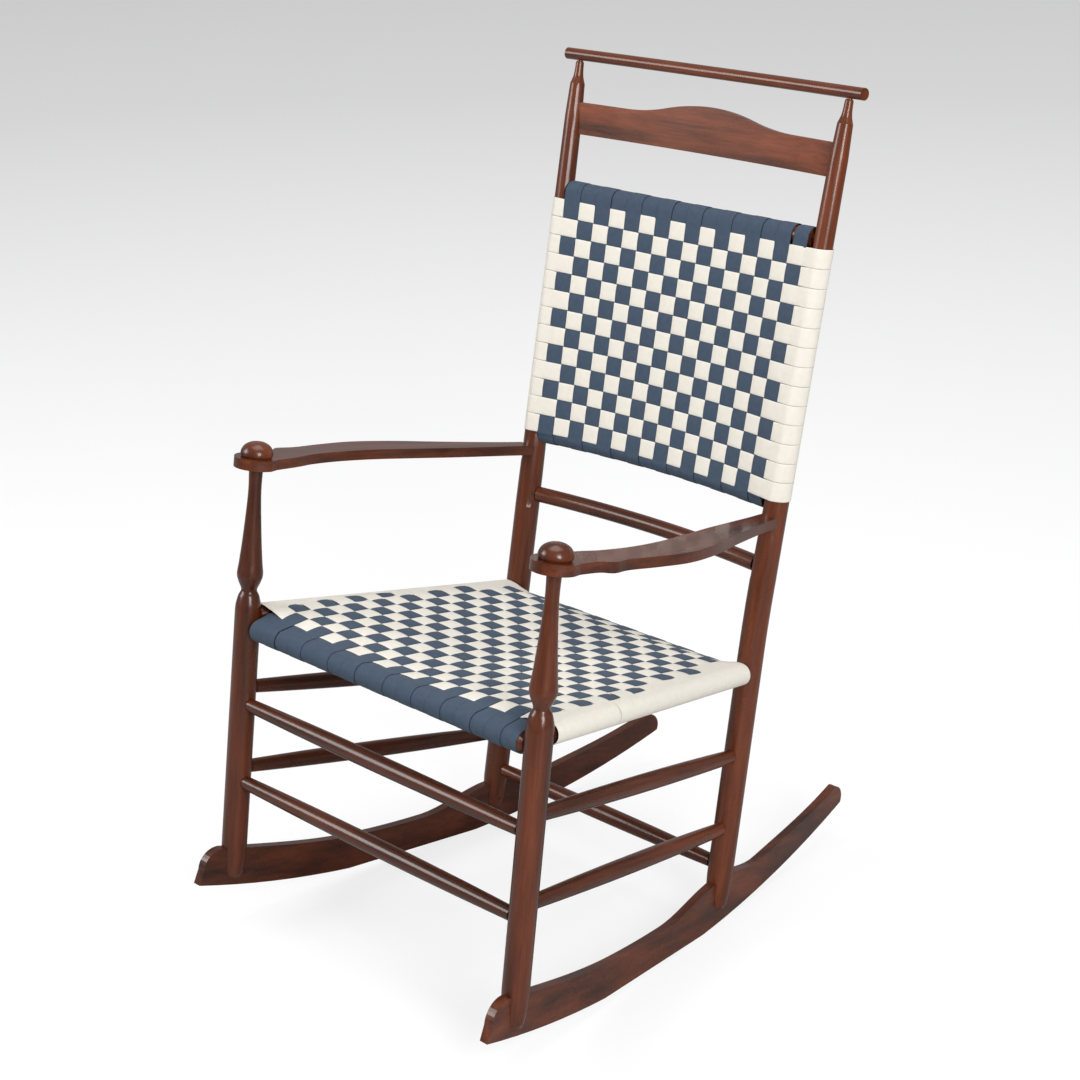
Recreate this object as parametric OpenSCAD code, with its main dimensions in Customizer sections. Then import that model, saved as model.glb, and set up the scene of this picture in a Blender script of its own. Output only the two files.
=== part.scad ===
// Armed rocking chair with turned posts and a woven tape seat and back, in millimetres.
// The chair faces -Y, and left and right are as seen from in front of it.
// Every piece is drawn with the front posts upright. at_rest() then leans the whole
// chair back on the round undersides of its rockers, to where it balances.

/* [Posts] */
// Distance between the axes of the front posts
front_span = 520; // [490:1:550]
// Distance between the axes of the rear posts at the floor
rear_span = 415; // [395:1:435]
// Distance from the front post axes back to the rear post axes, at the floor
post_depth = 419; // [400:1:440]
// Diameter of the posts up to the seat
post_d = 33; // [31:0.5:35]
// Backward lean of the straight lower half of the rear posts, in degrees
rear_lean = 2.2; // [1:0.1:3]
// Further backward bend of the rear posts above the seat, in degrees
rear_bend = 1.7; // [0.5:0.1:3]
// Outward bend of the rear posts above the seat, in degrees
rear_splay = 1.4; // [0.5:0.1:2]
// Height where the bend of the rear posts begins
bend_h = 393; // [385:1:400]
// Length of the bend of the rear posts
bend_length = 90; // [70:1:100]
// Diameter of the rear posts just under their tapered tips
tip_d = 23; // [20:0.5:25]
// Diameter of the shoulder that ends the rear posts
tip_shoulder_d = 19.4; // [17:0.2:21]
// Height of the slim neck from that shoulder to the shawl rail
tip_neck_h = 30; // [26:1:36]

/* [Front post turning] */
// Height of the thick shoulder of the front posts above the side seat rungs
shoulder_rise = 16; // [16:0.5:22]
// Diameter of the narrow neck above the shoulder
neck_d = 20; // [16:0.5:24]
// Diameter of the bulb above the neck
bulb_d = 33; // [28:0.5:36]
// Diameter of the slim stem below the arm
stem_d = 16.6; // [15:0.2:20]
// Diameter of the round tenon through the arm
stem_tenon_d = 14; // [10:0.5:14.5]

/* [Rockers] */
// Radius of the round underside
rocker_r = 1290; // [1150:10:1450]
// Distance from the front posts back to the lowest point of the underside
rocker_centre = 174; // [150:1:190]
// Thickness of the board
rocker_t = 12; // [10:0.5:14]
// Depth of the board at the front posts
rocker_front_h = 51; // [48:1:56]
// Depth of the board halfway between the posts
rocker_waist_h = 46.5; // [40:0.5:52]
// Depth of the board at the rear posts
rocker_rear_h = 62; // [56:1:68]
// Depth of the board towards the tail
rocker_tail_h = 39; // [37:1:46]
// Reach of the nose in front of the front post axes
nose_reach = 53; // [46:1:62]
// Radius of the rounded nose
nose_r = 27; // [20:1:29]
// Reach of the tail behind the rear post axes
tail_reach = 294.5; // [240:0.5:330]
// Radius of the rounded tail
tail_r = 20; // [17:1:26]
// Angle that the whole chair leans back at rest, in degrees
rest_lean = 8.62; // [5:0.01:9.5]

/* [Rungs] */
// Diameter of the rungs at mid length
rung_d = 22.5; // [20:0.5:25]
// Diameter of the rungs where they enter a post
rung_end_d = 17.5; // [16.5:0.5:19]
// Diameter of the tenons of the rungs
tenon_d = 15; // [12:0.5:16]
// Distance that the tenons pass beyond a post's axis
tenon_past = 3; // [1:0.5:5]
// Height of the upper front rung
front_high_h = 261.5; // [250:0.5:275]
// Height of the lower front rung
front_low_h = 156.5; // [140:0.5:165]
// Height of the upper side rungs at the front posts
side_high_front_h = 282; // [279:0.5:300]
// Height of the upper side rungs at the rear posts
side_high_rear_h = 253.5; // [240:0.5:280]
// Height of the lower side rungs at the front posts
side_low_front_h = 173; // [173:0.5:185]
// Height of the lower side rungs at the rear posts
side_low_rear_h = 156; // [140:0.5:170]
// Height of the rung between the feet of the rear posts
rear_rung_h = 104; // [102:0.5:125]
// Height of the bare bowed rung of the back
back_rung_h = 501.5; // [490:0.5:530]
// Backward bow of the bare rung
back_rung_bow = 22; // [10:0.5:26]
// Diameter of the bare bowed rung
back_rung_d = 21; // [19:0.5:24]

/* [Arms] */
// Height of the arms' top at the front posts
arm_h = 583.5; // [575:0.5:595]
// Drop of the arms from the front posts to the rear posts
arm_fall = 14; // [0:0.5:20]
// Thickness of the arms
arm_t = 13; // [11:0.5:15]
// Radius of the round front end of the arms
arm_disc_r = 28; // [25:0.5:31]
// Width of the narrow part behind the round end
arm_neck_w = 43; // [38:0.5:46]
// Greatest width of the arms
arm_w = 50; // [47:0.5:56]
// Width of the arms where they meet the rear posts
arm_end_w = 26; // [22:0.5:28]
// Greatest outward bow of the arms from the line between the posts
arm_bow = 33.5; // [26:0.5:38]
// Diameter of the tenon at the rear end of the arms
arm_tenon_d = 12; // [9:0.5:12.5]
// Diameter of the mushroom caps
cap_d = 41; // [36:0.5:46]
// Height of the mushroom caps above the arm
cap_h = 19.5; // [16:0.5:24]

/* [Seat] */
// Height of the axes of the side seat rungs at the front posts
seat_h = 378; // [374:0.5:381]
// Drop of the side seat rungs from front to rear
seat_fall = 13.5; // [8:0.5:16]
// Distance that the front and rear seat rungs lie below the side ones
seat_step = 14; // [12:0.5:16]
// Diameter of the rungs that carry the tape
tape_rung_d = 26; // [24:0.5:28]

/* [Back] */
// Height of the lower rung that carries the back tape
back_low_h = 587; // [587:0.5:600]
// Height of the upper rung that carries the back tape
back_high_h = 913; // [880:0.5:920]
// Backward bow of both rungs that carry the back tape
tape_rung_bow = 16; // [8:0.5:22]
// Distance that the tape draws the middles of those two rungs together
tape_rung_pull = 3; // [0.5:0.5:5]
// Height of the underside of the slat
slat_low_h = 988; // [975:0.5:995]
// Height of the slat's ends
slat_end_w = 41.5; // [34:0.5:44]
// Rise of the hump in the middle of the slat
slat_hump = 17.5; // [8:0.5:22]
// Length of the hump
slat_hump_l = 280; // [240:1:340]
// Thickness of the slat
slat_t = 7; // [5:0.5:9]
// Backward bow of the slat
slat_bow = 17; // [5:0.5:20]
// Distance that the slat's tenons pass beyond the post axes
slat_past = 4; // [1:0.5:6]
// Height of the shawl rail's axis
rail_h = 1090.5; // [1080:0.5:1105]
// Diameter of the shawl rail
rail_d = 15; // [14:0.5:20]
// Length of the shawl rail
rail_length = 491; // [475:1:520]
// Backward bow of the shawl rail
rail_bow = 8; // [4:0.5:16]
// Diameter of the pin on each rear post that enters the shawl rail
rail_pin_d = 7; // [5:0.5:8]
// Depth of the hole for that pin
rail_pin_depth = 9; // [6:0.5:10]

/* [Tape] */
// Width of one tape
tape_w = 25; // [22:0.1:28]
// Thickness of the tape
tape_t = 1.3; // [1:0.1:1.8]
// Gap between neighbouring tapes
tape_gap = 0.4; // [0.2:0.1:1]

/* [Pins and tacks] */
// Diameter of the pins that hold the rockers in the posts
rocker_pin_d = 4; // [3:0.5:6]
// Diameter of the pins that hold the slat in the posts
slat_pin_d = 3; // [2:0.5:4]
// Diameter of a tape tack's shank
tack_d = 1.6; // [1.2:0.1:2]
// Diameter of a tape tack's head
tack_head_d = 5; // [4:0.5:6]
// Length of a tape tack
tack_length = 10; // [8:0.5:11]

/* [Fits] */
// Clearance all round a tenon, pin or tape
fit = 0.1; // [0.05:0.05:0.2]
// Clearance at the bottom of a hole
end_fit = 0.3; // [0.2:0.1:0.6]

/* [Hidden] */
$fn = 64;
post_r = post_d/2;
wood = "#5f3426";
dark_wood = "#4a2a20";
blue = "#3f4f6f";
cream = "#e6dfd0";
foam = "#d8d2c0";
brass = "#b8964a";

// Number from 0 to 1 that starts and stops gently as t goes from 0 to 1
function ease(t) = let (s = min(max(t, 0), 1)) s*s*(3 - 2*s);

// Value between a and b
function mix(a, b, t) = a + (b - a)*t;

// Smooth curve through a list of points, with n steps between neighbours
function curve_point(a, b, c, d, t) =
  0.5*(2*b + (c - a)*t + (2*a - 5*b + 4*c - d)*t*t + (3*b - a - 3*c + d)*t*t*t);
function curve(p, n) = let (last = len(p) - 1) [
  for (i = [0:last - 1])
    for (k = [0:n - 1])
      curve_point(p[max(i - 1, 0)], p[i], p[i + 1], p[min(i + 2, last)], k/n),
  p[last]
];

// Points of an arc in a plane, from angle a to angle b
function arc(centre, r, a, b, n) = [
  for (i = [0:n]) centre + r*[cos(mix(a, b, i/n)), sin(mix(a, b, i/n))]
];

// Radius of the circle through both ends of a chord that rises by the given bow
function bow_radius(half, bow) = (half*half + bow*bow)/(2*bow);

// Axis of the right front post
function front_point(z) = [front_span/2, 0, z];

// Axis of the right rear post: straight, then a gentle bend, then straight again
bend_way = [tan(rear_splay), tan(rear_bend), 1]/norm([tan(rear_splay), tan(rear_bend), 1]);
bend_angle = acos(bend_way[2]);
bend_side = atan2(bend_way[1], bend_way[0]);
bend_r = bend_length/bend_angle*180/PI;
bend_start = bend_h/cos(rear_lean);
bend_end = bend_start + bend_length;
function bent(u) =
  let (a = min(max(u - bend_start, 0)/bend_r*180/PI, bend_angle))
  let (out = bend_r*(1 - cos(a)))
  [out*cos(bend_side), out*sin(bend_side), min(u, bend_start) + bend_r*sin(a)]
    + max(u - bend_end, 0)*bend_way;
function lean_back(p) = [
  p[0],
  p[1]*cos(rear_lean) + p[2]*sin(rear_lean),
  p[2]*cos(rear_lean) - p[1]*sin(rear_lean)
];
function rear_along(u) = [rear_span/2, post_depth, 0] + lean_back(bent(u));
bend_end_h = rear_along(bend_end)[2];
upper_rise = rear_along(bend_end + 1)[2] - bend_end_h;
// Distance along the rear post at which it reaches a height
function rear_u(z) =
  z < bend_h ? z/cos(rear_lean) :
  z < bend_end_h ? mix(bend_start, bend_end, (z - bend_h)/(bend_end_h - bend_h)) :
  bend_end + (z - bend_end_h)/upper_rise;
function rear_point(z) = rear_along(rear_u(z));

// Turning of the rear posts: distances along the post and radii
rail_u = rear_u(rail_h);
tip_shoulder_u = rail_u - rail_d/2 - tip_neck_h;
taper_end_u = tip_shoulder_u - 42;
function rear_r(u) =
  u < bend_end ? post_r :
  u < taper_end_u ? mix(post_r, tip_d/2, (u - bend_end)/(taper_end_u - bend_end)) :
  mix(tip_d/2, tip_shoulder_d/2, (u - taper_end_u)/(tip_shoulder_u - taper_end_u));

// Undersides and tops of the rockers, measured along Y
function rocker_low(y) = rocker_r - sqrt(rocker_r*rocker_r - pow(y - rocker_centre, 2));
boss_front = post_depth - 14;
boss_rear = post_depth + 8;
tail_y = post_depth + tail_reach;
board_run = nose_reach + tail_y;
function rocker_h(y) =
  y < boss_front - 105 ? mix(rocker_front_h, rocker_waist_h, ease((y - 10)/180)) :
  y < boss_rear ? mix(rocker_waist_h, rocker_rear_h, ease((y - boss_front + 105)/105)) :
  y < boss_rear + 85 ? mix(rocker_rear_h, rocker_tail_h + 4, ease((y - boss_rear)/85)) :
  mix(rocker_tail_h + 4, rocker_tail_h - 4, ease((y - boss_rear - 85)/(tail_y - tail_r - boss_rear - 85)));
function rocker_top(y) = rocker_low(y) + rocker_h(y);

// Plan angle of the rockers and side rungs, which draw together towards the back
toe_in = atan2((front_span - rear_span)/2, post_depth);

// Lean of the whole chair about the centre of the rockers' round undersides
lean_c = cos(rest_lean);
lean_s = sin(rest_lean);
function rest_y(y, z) = rocker_centre + lean_c*(y - rocker_centre) + lean_s*(z - rocker_r);
front_reach = rest_y(-nose_reach, rocker_low(-nose_reach));
tail_centre = [tail_y - tail_r, rocker_top(tail_y - tail_r) - tail_r];
rear_reach = rest_y(tail_centre[0], tail_centre[1]) + tail_r;

// Heights and radii of the rungs that carry tape
tape_in_r = tape_rung_d/2 + fit;
tape_out_r = tape_in_r + tape_t;
front_seat_h = seat_h - seat_step;
rear_seat_h = seat_h - seat_fall - seat_step;
front_seat = front_point(front_seat_h);
rear_seat = rear_point(rear_seat_h);
side_front = front_point(seat_h);
side_rear = rear_point(seat_h - seat_fall);
back_low = rear_point(back_low_h);
back_high = rear_point(back_high_h);
seat_columns = floor((front_span - post_d)/tape_w);
weft_front = 10.5;
weft_rear = rear_seat[1] - 10.5;
seat_rows = ceil((weft_rear - weft_front)/tape_w);
back_edge = back_low[0] - rear_r(rear_u(back_low_h)) - 0.5;
back_columns = ceil(2*back_edge/tape_w);
weft_low = back_low_h + 2;
weft_high = back_high_h - 10;
back_rows = ceil((weft_high - weft_low)/tape_w);
back_row_pitch = (weft_high - weft_low)/back_rows;

module at_rest() {
  translate([0, -(front_reach + rear_reach)/2, 0])
    translate([0, rocker_centre, rocker_r])
      rotate([-rest_lean, 0, 0])
        translate([0, -rocker_centre, -rocker_r])
          children();
}

// Turns what is drawn along +Z into the direction from p to q, starting at p
module along(p, q) {
  way = q - p;
  translate(p)
    rotate([0, acos(way[2]/norm(way)), atan2(way[1], way[0])])
      children();
}

module both() {
  children();
  mirror([1, 0, 0])
    children();
}

// Straight rung between two post axes, swelling from its ends to its middle.
// It starts and ends as a tenon that passes the axes by the given distance.
module rung(p, q, start_r, end_r, middle_d, end_d) {
  span = norm(q - p);
  body = span - start_r - end_r;
  along(p, q)
    rotate_extrude()
      polygon([
        [0, -tenon_past],
        [tenon_d/2, -tenon_past],
        [tenon_d/2, start_r + fit],
        for (i = [0:16])
          [
            mix(end_d, middle_d, 1 - pow(i/8 - 1, 2))/2,
            start_r + fit + (body - 2*fit)*i/16
          ],
        [tenon_d/2, span - end_r - fit],
        [tenon_d/2, span + tenon_past],
        [0, span + tenon_past]
      ]);
}

// Tape carrying rung: full size under the tape and tapered beside the posts
module tape_rung(p, q, start_r, end_r, start_bare, end_bare) {
  span = norm(q - p);
  along(p, q)
    rotate_extrude()
      polygon([
        [0, -tenon_past],
        [tenon_d/2, -tenon_past],
        [tenon_d/2, start_r + fit],
        [rung_end_d/2, start_r + fit],
        [tape_rung_d/2, start_r + start_bare],
        [tape_rung_d/2, span - end_r - end_bare],
        [rung_end_d/2, span - end_r - fit],
        [tenon_d/2, span - end_r - fit],
        [tenon_d/2, span + tenon_past],
        [0, span + tenon_past]
      ]);
}

// Hole for the tenon that comes from q into the post at p
module mortise(p, q) {
  along(p, q)
    translate([0, 0, -tenon_past - end_fit])
      cylinder(h = tenon_past + end_fit + post_d, d = tenon_d + 2*fit);
}

// Rod bowed backwards, whose axis passes the post axis at p and whose middle
// lies lower by the given drop
module bowed_rod(p, bow, d, past, drop = 0) {
  whole_bow = norm([bow, drop]);
  r = bow_radius(p[0], whole_bow);
  half_angle = asin(p[0]/r) + past/r*180/PI;
  translate([0, p[1], p[2]])
    rotate([-atan2(drop, bow), 0, 0])
      translate([0, whole_bow - r, 0])
        rotate([0, 0, 90 - half_angle])
          rotate_extrude(angle = 2*half_angle, $fn = 180)
            translate([r, 0])
              circle(d = d, $fn = 32);
}

module bowed_rung(p, bow, d, reach_r, drop = 0) {
  bowed_rod(p, bow, d, -reach_r - fit, drop);
  bowed_rod(p, bow, tenon_d, tenon_past, drop);
}

module bowed_mortise(p, bow, drop = 0) {
  bowed_rod(p, bow, tenon_d + 2*fit, tenon_past + end_fit, drop);
}

// Board of the right rocker, larger all round by the given clearance
module rocker_board(grow) {
  nose_y = -nose_reach + nose_r + 5.5;
  nose_z = rocker_top(nose_y) - nose_r;
  top_steps = 60;
  outline = [
    [-nose_reach - grow, rocker_low(-nose_reach) - 40],
    [-nose_reach - grow, rocker_low(-nose_reach)],
    for (p = arc([nose_y, nose_z], nose_r + grow, 180, 90, 10)) p,
    for (i = [1:top_steps - 1])
      let (y = mix(nose_y, tail_centre[0], i/top_steps))
        [y, rocker_top(y) + grow],
    for (p = arc(tail_centre, tail_r + grow, 90, -40, 14)) p,
    [tail_centre[0], tail_centre[1] - tail_r - 60]
  ];
  intersection() {
    translate([front_span/2, 0, 0])
      rotate([0, 0, toe_in])
        translate([-rocker_t/2 - grow, -2*nose_reach, -2*nose_reach])
          cube([rocker_t + 2*grow, 2*board_run, board_run]);
    rotate([90, 0, 90])
      linear_extrude(height = front_span)
        intersection() {
          polygon(outline);
          translate([rocker_centre, rocker_r])
            circle(r = rocker_r + grow, $fn = 720);
        }
  }
}

// Cross hole or pin through the foot of a post and the rocker in it
module foot_pin(p, grow, end_grow) {
  translate(p)
    rotate([0, 0, toe_in])
      translate([-post_r + 1 - end_grow, 0, 0])
        rotate([0, 90, 0])
          cylinder(h = 2*post_r - 4 + 2*end_grow, d = rocker_pin_d + 2*grow, $fn = 24);
}
front_foot_h = rocker_low(0) + 30;
rear_foot_h = rocker_low(post_depth) + 38;
function rear_foot() = rear_point(rear_foot_h);

module rocker() {
  color(wood)
    difference() {
      rocker_board(0);
      foot_pin(front_point(front_foot_h), fit, end_fit);
      foot_pin(rear_foot(), fit, end_fit);
    }
}

// Rounded foot whose two cheeks straddle the rocker and end just above its edge
function foot_profile(low, full) = [
  [0, low],
  [post_r*0.5, low],
  [post_r*0.68, low + 2.2],
  [post_r*0.81, low + (full - low)*0.16],
  [post_r*0.93, low + (full - low)*0.5],
  [post_r, full]
];

module front_post() {
  foot_low = rocker_low(0) + 9.5;
  foot_full = rocker_top(0) + 4;
  shoulder = seat_h + shoulder_rise;
  arm_under = arm_h - arm_t;
  turned = curve([
    [post_r, shoulder - 8],
    [post_r - 0.8, shoulder],
    [mix(neck_d/2, post_r, 0.5), shoulder + 10],
    [neck_d/2, shoulder + 18],
    [mix(neck_d/2, bulb_d/2, 0.6), shoulder + 28],
    [bulb_d/2, shoulder + 38],
    [mix(stem_d/2, bulb_d/2, 0.77), shoulder + 56],
    [mix(stem_d/2, bulb_d/2, 0.38), shoulder + 92],
    [stem_d/2, mix(shoulder + 92, arm_under, 0.6)],
    [stem_d/2 + 0.6, arm_under - 2]
  ], 5);
  color(wood)
    difference() {
      translate([front_span/2, 0, 0])
        rotate_extrude()
          polygon([
            for (p = foot_profile(foot_low, foot_full)) p,
            for (p = turned) p,
            [stem_tenon_d/2, arm_under - 2],
            [stem_tenon_d/2, arm_h + cap_h*0.55],
            [0, arm_h + cap_h*0.55]
          ]);
      rocker_board(fit);
      foot_pin(front_point(front_foot_h), fit, end_fit);
      for (z = [front_low_h, front_high_h, front_seat_h])
        mortise(front_point(z), front_point(z) - [1, 0, 0]);
      mortise(front_point(side_low_front_h), rear_point(side_low_rear_h));
      mortise(front_point(side_high_front_h), rear_point(side_high_rear_h));
      mortise(side_front, side_rear);
    }
}

// Turned and bent rear post without its mortises, larger by the given clearance
// The bend is a hair slimmer than the straight lengths, and runs a little into them.
module rear_post_blank(grow) {
  foot_low = rocker_low(post_depth) + 21.5;
  foot_full = rocker_top(post_depth) + 4;
  overlap = 2/bend_r*180/PI;
  translate([rear_span/2, post_depth, 0])
    rotate([-rear_lean, 0, 0]) {
      rotate_extrude()
        polygon([
          for (p = foot_profile(foot_low, foot_full)) p + [p[0] > 0 ? grow : 0, 0],
          [post_r + grow, bend_start],
          [0, bend_start]
        ]);
      translate([0, 0, bend_start])
        rotate([0, 0, bend_side - 180])
          translate([-bend_r, 0, 0]) {
            rotate([90, 0, 0])
              rotate([0, 0, -overlap])
                rotate_extrude(angle = bend_angle + 2*overlap, $fn = 720)
                  translate([bend_r, 0])
                    circle(r = post_r + grow - 0.06);
            rotate([0, -bend_angle, 0])
              translate([bend_r, 0, 0])
                rear_post_upper(grow);
          }
    }
}

module rear_post_upper(grow) {
  shoulder = tip_shoulder_u - bend_end;
  neck_end = shoulder + tip_neck_h;
  tip_r = tip_shoulder_d/2;
  rotate_extrude()
    polygon([
      [0, 0],
      [post_r + grow, 0],
      [tip_d/2 + grow, taper_end_u - bend_end],
      [tip_r + grow, shoulder],
      for (p = curve([
        [tip_r - 0.4, shoulder + 1],
        [mix(rail_pin_d/2, tip_r, 0.72), shoulder + 5],
        [mix(rail_pin_d/2, tip_r, 0.5), shoulder + tip_neck_h*0.33],
        [mix(rail_pin_d/2, tip_r, 0.35), shoulder + tip_neck_h*0.6],
        [mix(rail_pin_d/2, tip_r, 0.3), neck_end - 4],
        [mix(rail_pin_d/2, tip_r, 0.18), neck_end - 1]
      ], 3)) p + [grow, 0],
      [rail_pin_d/2 + grow, neck_end - 1],
      [rail_pin_d/2 + grow, neck_end + rail_pin_depth],
      [0, neck_end + rail_pin_depth]
    ]);
}

module rear_post() {
  color(wood)
    difference() {
      rear_post_blank(0);
      rocker_board(fit);
      foot_pin(rear_foot(), fit, end_fit);
      mortise(rear_point(rear_rung_h), rear_point(rear_rung_h) - [1, 0, 0]);
      mortise(rear_seat, rear_seat - [1, 0, 0]);
      mortise(rear_point(side_low_rear_h), front_point(side_low_front_h));
      mortise(rear_point(side_high_rear_h), front_point(side_high_front_h));
      mortise(side_rear, side_front);
      bowed_mortise(rear_point(back_rung_h), back_rung_bow);
      bowed_mortise(back_low, tape_rung_bow, -tape_rung_pull);
      bowed_mortise(back_high, tape_rung_bow, tape_rung_pull);
      slat_board(fit, end_fit);
      slat_pin(fit, end_fit);
      arm_tenon(fit, end_fit);
    }
}

// Plan of the right arm in its own plane, from the front post back along +Y
arm_tilt = atan2(arm_fall, post_depth);
arm_rear = rear_point(arm_h - arm_fall - arm_t/2);
arm_run = norm([arm_rear[1], arm_fall]);
arm_side = arm_rear[0] - front_span/2;
arm_end_y = arm_run - rear_r(rear_u(arm_rear[2]))*0.7;
function arm_edge(t, bow, w, side) = [arm_side*t + bow*arm_bow + side*w/2, arm_run*t];
arm_stations = [
  [0.035, 0.08, arm_neck_w + 4],
  [0.1, 0.27, arm_neck_w + 2],
  [0.135, 0.5, arm_neck_w + 8],
  [0.195, 0.63, arm_neck_w - 1],
  [0.3, 0.88, arm_neck_w + 1],
  [0.42, 1, arm_w],
  [0.553, 0.83, arm_w - 1],
  [0.69, 0.51, mix(arm_w, arm_end_w, 0.4)],
  [0.825, 0.25, mix(arm_w, arm_end_w, 0.78)],
  [0.9, 0.12, arm_end_w + 1],
  [arm_end_y/arm_run, 0, arm_end_w]
];
function arm_outer() = curve([for (s = arm_stations) arm_edge(s[0], s[1], s[2], 1)], 5);
function arm_inner() = curve([for (s = arm_stations) arm_edge(s[0], s[1], s[2], -1)], 5);
function backwards(p) = [for (i = [len(p) - 1:-1:0]) p[i]];
arm_outline = concat(
  arc([0, 0], arm_disc_r, -185, 5, 24), arm_outer(), backwards(arm_inner())
);

module in_arm_plane() {
  translate([front_span/2, 0, arm_h])
    rotate([-arm_tilt, 0, 0])
      children();
}

// Round tenon from the rear end of the arm into the rear post
module arm_tenon(grow, end_grow) {
  in_arm_plane()
    translate([arm_side, arm_run + 4 + end_grow, -arm_t/2])
      rotate([90, 0, 0])
        cylinder(h = post_r + 8, d = arm_tenon_d + 2*grow);
}

module arm() {
  color(wood)
    difference() {
      union() {
        difference() {
          in_arm_plane()
            translate([0, 0, -arm_t])
              linear_extrude(height = arm_t)
                polygon(arm_outline);
          rear_post_blank(fit);
        }
        arm_tenon(0, 0);
      }
      translate([front_span/2, 0, arm_h - arm_t - 5])
        cylinder(h = arm_t + 20, d = stem_tenon_d + 2*fit);
    }
}

// Mushroom cap on the front post, cut level with the arm's top
module arm_cap() {
  rim = cap_d/2;
  dome = curve([
    [rim - 3.5, -2],
    [rim - 1, 1.5],
    [rim, 4.5],
    [rim*0.95, cap_h*0.48],
    [rim*0.78, cap_h*0.74],
    [rim*0.5, cap_h*0.92],
    [rim*0.24, cap_h*0.985],
    [0, cap_h]
  ], 4);
  color(dark_wood)
    difference() {
      translate([front_span/2, 0, arm_h])
        rotate_extrude()
          polygon(concat([[0, -2]], dome));
      in_arm_plane()
        translate([-60, -60, -30 + fit])
          cube([120, 120, 30]);
      translate([front_span/2, 0, arm_h - 5])
        cylinder(h = 5 + cap_h*0.55 + end_fit, d = stem_tenon_d + 2*fit);
    }
}

// Slat with a humped top edge, bent to a level arc and set between the posts
slat_mid = rear_point(slat_low_h + slat_end_w/2);
module slat_board(grow, end_grow) {
  r = bow_radius(slat_mid[0], slat_bow);
  half = slat_mid[0] + slat_past + end_grow;
  hump_r = (pow(slat_hump_l/4, 2) + pow(slat_hump/2, 2))/slat_hump;
  swing = asin(slat_hump_l/4/hump_r);
  top = slat_low_h + slat_end_w + grow;
  outline = concat(
    [[-half, slat_low_h - grow], [half, slat_low_h - grow], [half, top]],
    arc([slat_hump_l/2, top + hump_r], hump_r, -90, -90 - swing, 8),
    arc([0, top + slat_hump - hump_r], hump_r, 90 - swing, 90 + swing, 16),
    arc([-slat_hump_l/2, top + hump_r], hump_r, -90 + swing, -90, 8),
    [[-half, top]]
  );
  intersection() {
    translate([0, slat_mid[1] + slat_bow - r, 0])
      difference() {
        cylinder(h = 2*slat_low_h, r = r + slat_t/2 + grow, $fn = 720);
        translate([0, 0, -1])
          cylinder(h = 2*slat_low_h + 2, r = r - slat_t/2 - grow, $fn = 720);
      }
    translate([0, slat_mid[1] + 100, 0])
      rotate([90, 0, 0])
        linear_extrude(height = 200)
          polygon(outline);
  }
}

// Pin driven into the post from behind, through the slat's tenon
module slat_pin(grow, end_grow) {
  translate([slat_mid[0], slat_mid[1] + post_r, slat_mid[2]])
    rotate([90, 0, 0])
      cylinder(h = post_r + 7 + end_grow, d = slat_pin_d + 2*grow, $fn = 24);
}

module slat_pins() {
  color(dark_wood)
    both()
      intersection() {
        slat_pin(0, 0);
        rear_post_blank(-fit);
      }
}

module rocker_pins() {
  color(dark_wood)
    both() {
      foot_pin(front_point(front_foot_h), 0, 0);
      foot_pin(rear_foot(), 0, 0);
    }
}

module top_slat() {
  color(wood)
    difference() {
      slat_board(0, 0);
      both()
        slat_pin(fit, end_fit);
    }
}

module shawl_rail() {
  top = rear_point(rail_h);
  r = bow_radius(top[0], rail_bow);
  color(wood)
    difference() {
      bowed_rod(top, rail_bow, rail_d, rail_length/2 - top[0]);
      both()
        rail_socket();
    }
}

// Hole in the rail for the pin on top of a rear post
module rail_socket() {
  start = rear_along(tip_shoulder_u + tip_neck_h - 4);
  along(start, start + lean_back(bend_way))
    cylinder(h = 4 + rail_pin_depth + end_fit, d = rail_pin_d + 2*fit);
}

module back_rung() {
  p = rear_point(back_rung_h);
  color(wood)
    bowed_rung(p, back_rung_bow, back_rung_d, post_r);
}

module back_bottom_rung() {
  color(wood)
    bowed_rung(back_low, tape_rung_bow, tape_rung_d, rear_r(rear_u(back_low_h)) + 2,
      -tape_rung_pull);
}

module back_top_rung() {
  color(wood)
    difference() {
      bowed_rung(back_high, tape_rung_bow, tape_rung_d, rear_r(rear_u(back_high_h)) + 2,
        tape_rung_pull);
      back_tacks(fit, end_fit);
    }
}

module seat_front_rung() {
  color(wood)
    difference() {
      tape_rung([-front_seat[0], 0, front_seat_h], front_seat, post_r, post_r, 5, 5);
      seat_cross_tacks(fit, end_fit);
    }
}

module seat_rear_rung() {
  p = rear_seat;
  color(wood)
    difference() {
      tape_rung([-p[0], p[1], p[2]], p, post_r, post_r, 3, 3);
      seat_cross_tacks(fit, end_fit);
    }
}

// Right side seat rung, scooped where the front and rear rungs' tenons cross it
module seat_side_rung() {
  color(wood)
    difference() {
      tape_rung(side_front, side_rear, post_r, post_r, 14, 5);
      for (p = [front_seat, rear_seat])
        mortise(p, p - [1, 0, 0]);
      seat_side_tacks(fit, end_fit);
    }
}

module front_rung(h) {
  color(wood)
    rung([-front_span/2, 0, h], front_point(h), post_r, post_r, rung_d, rung_end_d);
}

module side_rung(front_h, rear_h) {
  color(wood)
    rung(front_point(front_h), rear_point(rear_h), post_r, post_r, rung_d, rung_end_d);
}

module rear_rung() {
  p = rear_point(rear_rung_h);
  color(wood)
    rung([-p[0], p[1], p[2]], p, post_r, post_r, rung_d, rung_end_d);
}

// Tack whose flat head lies flush with a rung, at p with its point along the way
module tack(p, way, grow, end_grow) {
  along(p, p + way) {
    cylinder(h = tack_length + end_grow, d = tack_d + 2*grow, $fn = 24);
    translate([0, 0, -grow])
      cylinder(h = 1 + 2*grow, d = tack_head_d + 2*grow, $fn = 24);
  }
}

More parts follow.
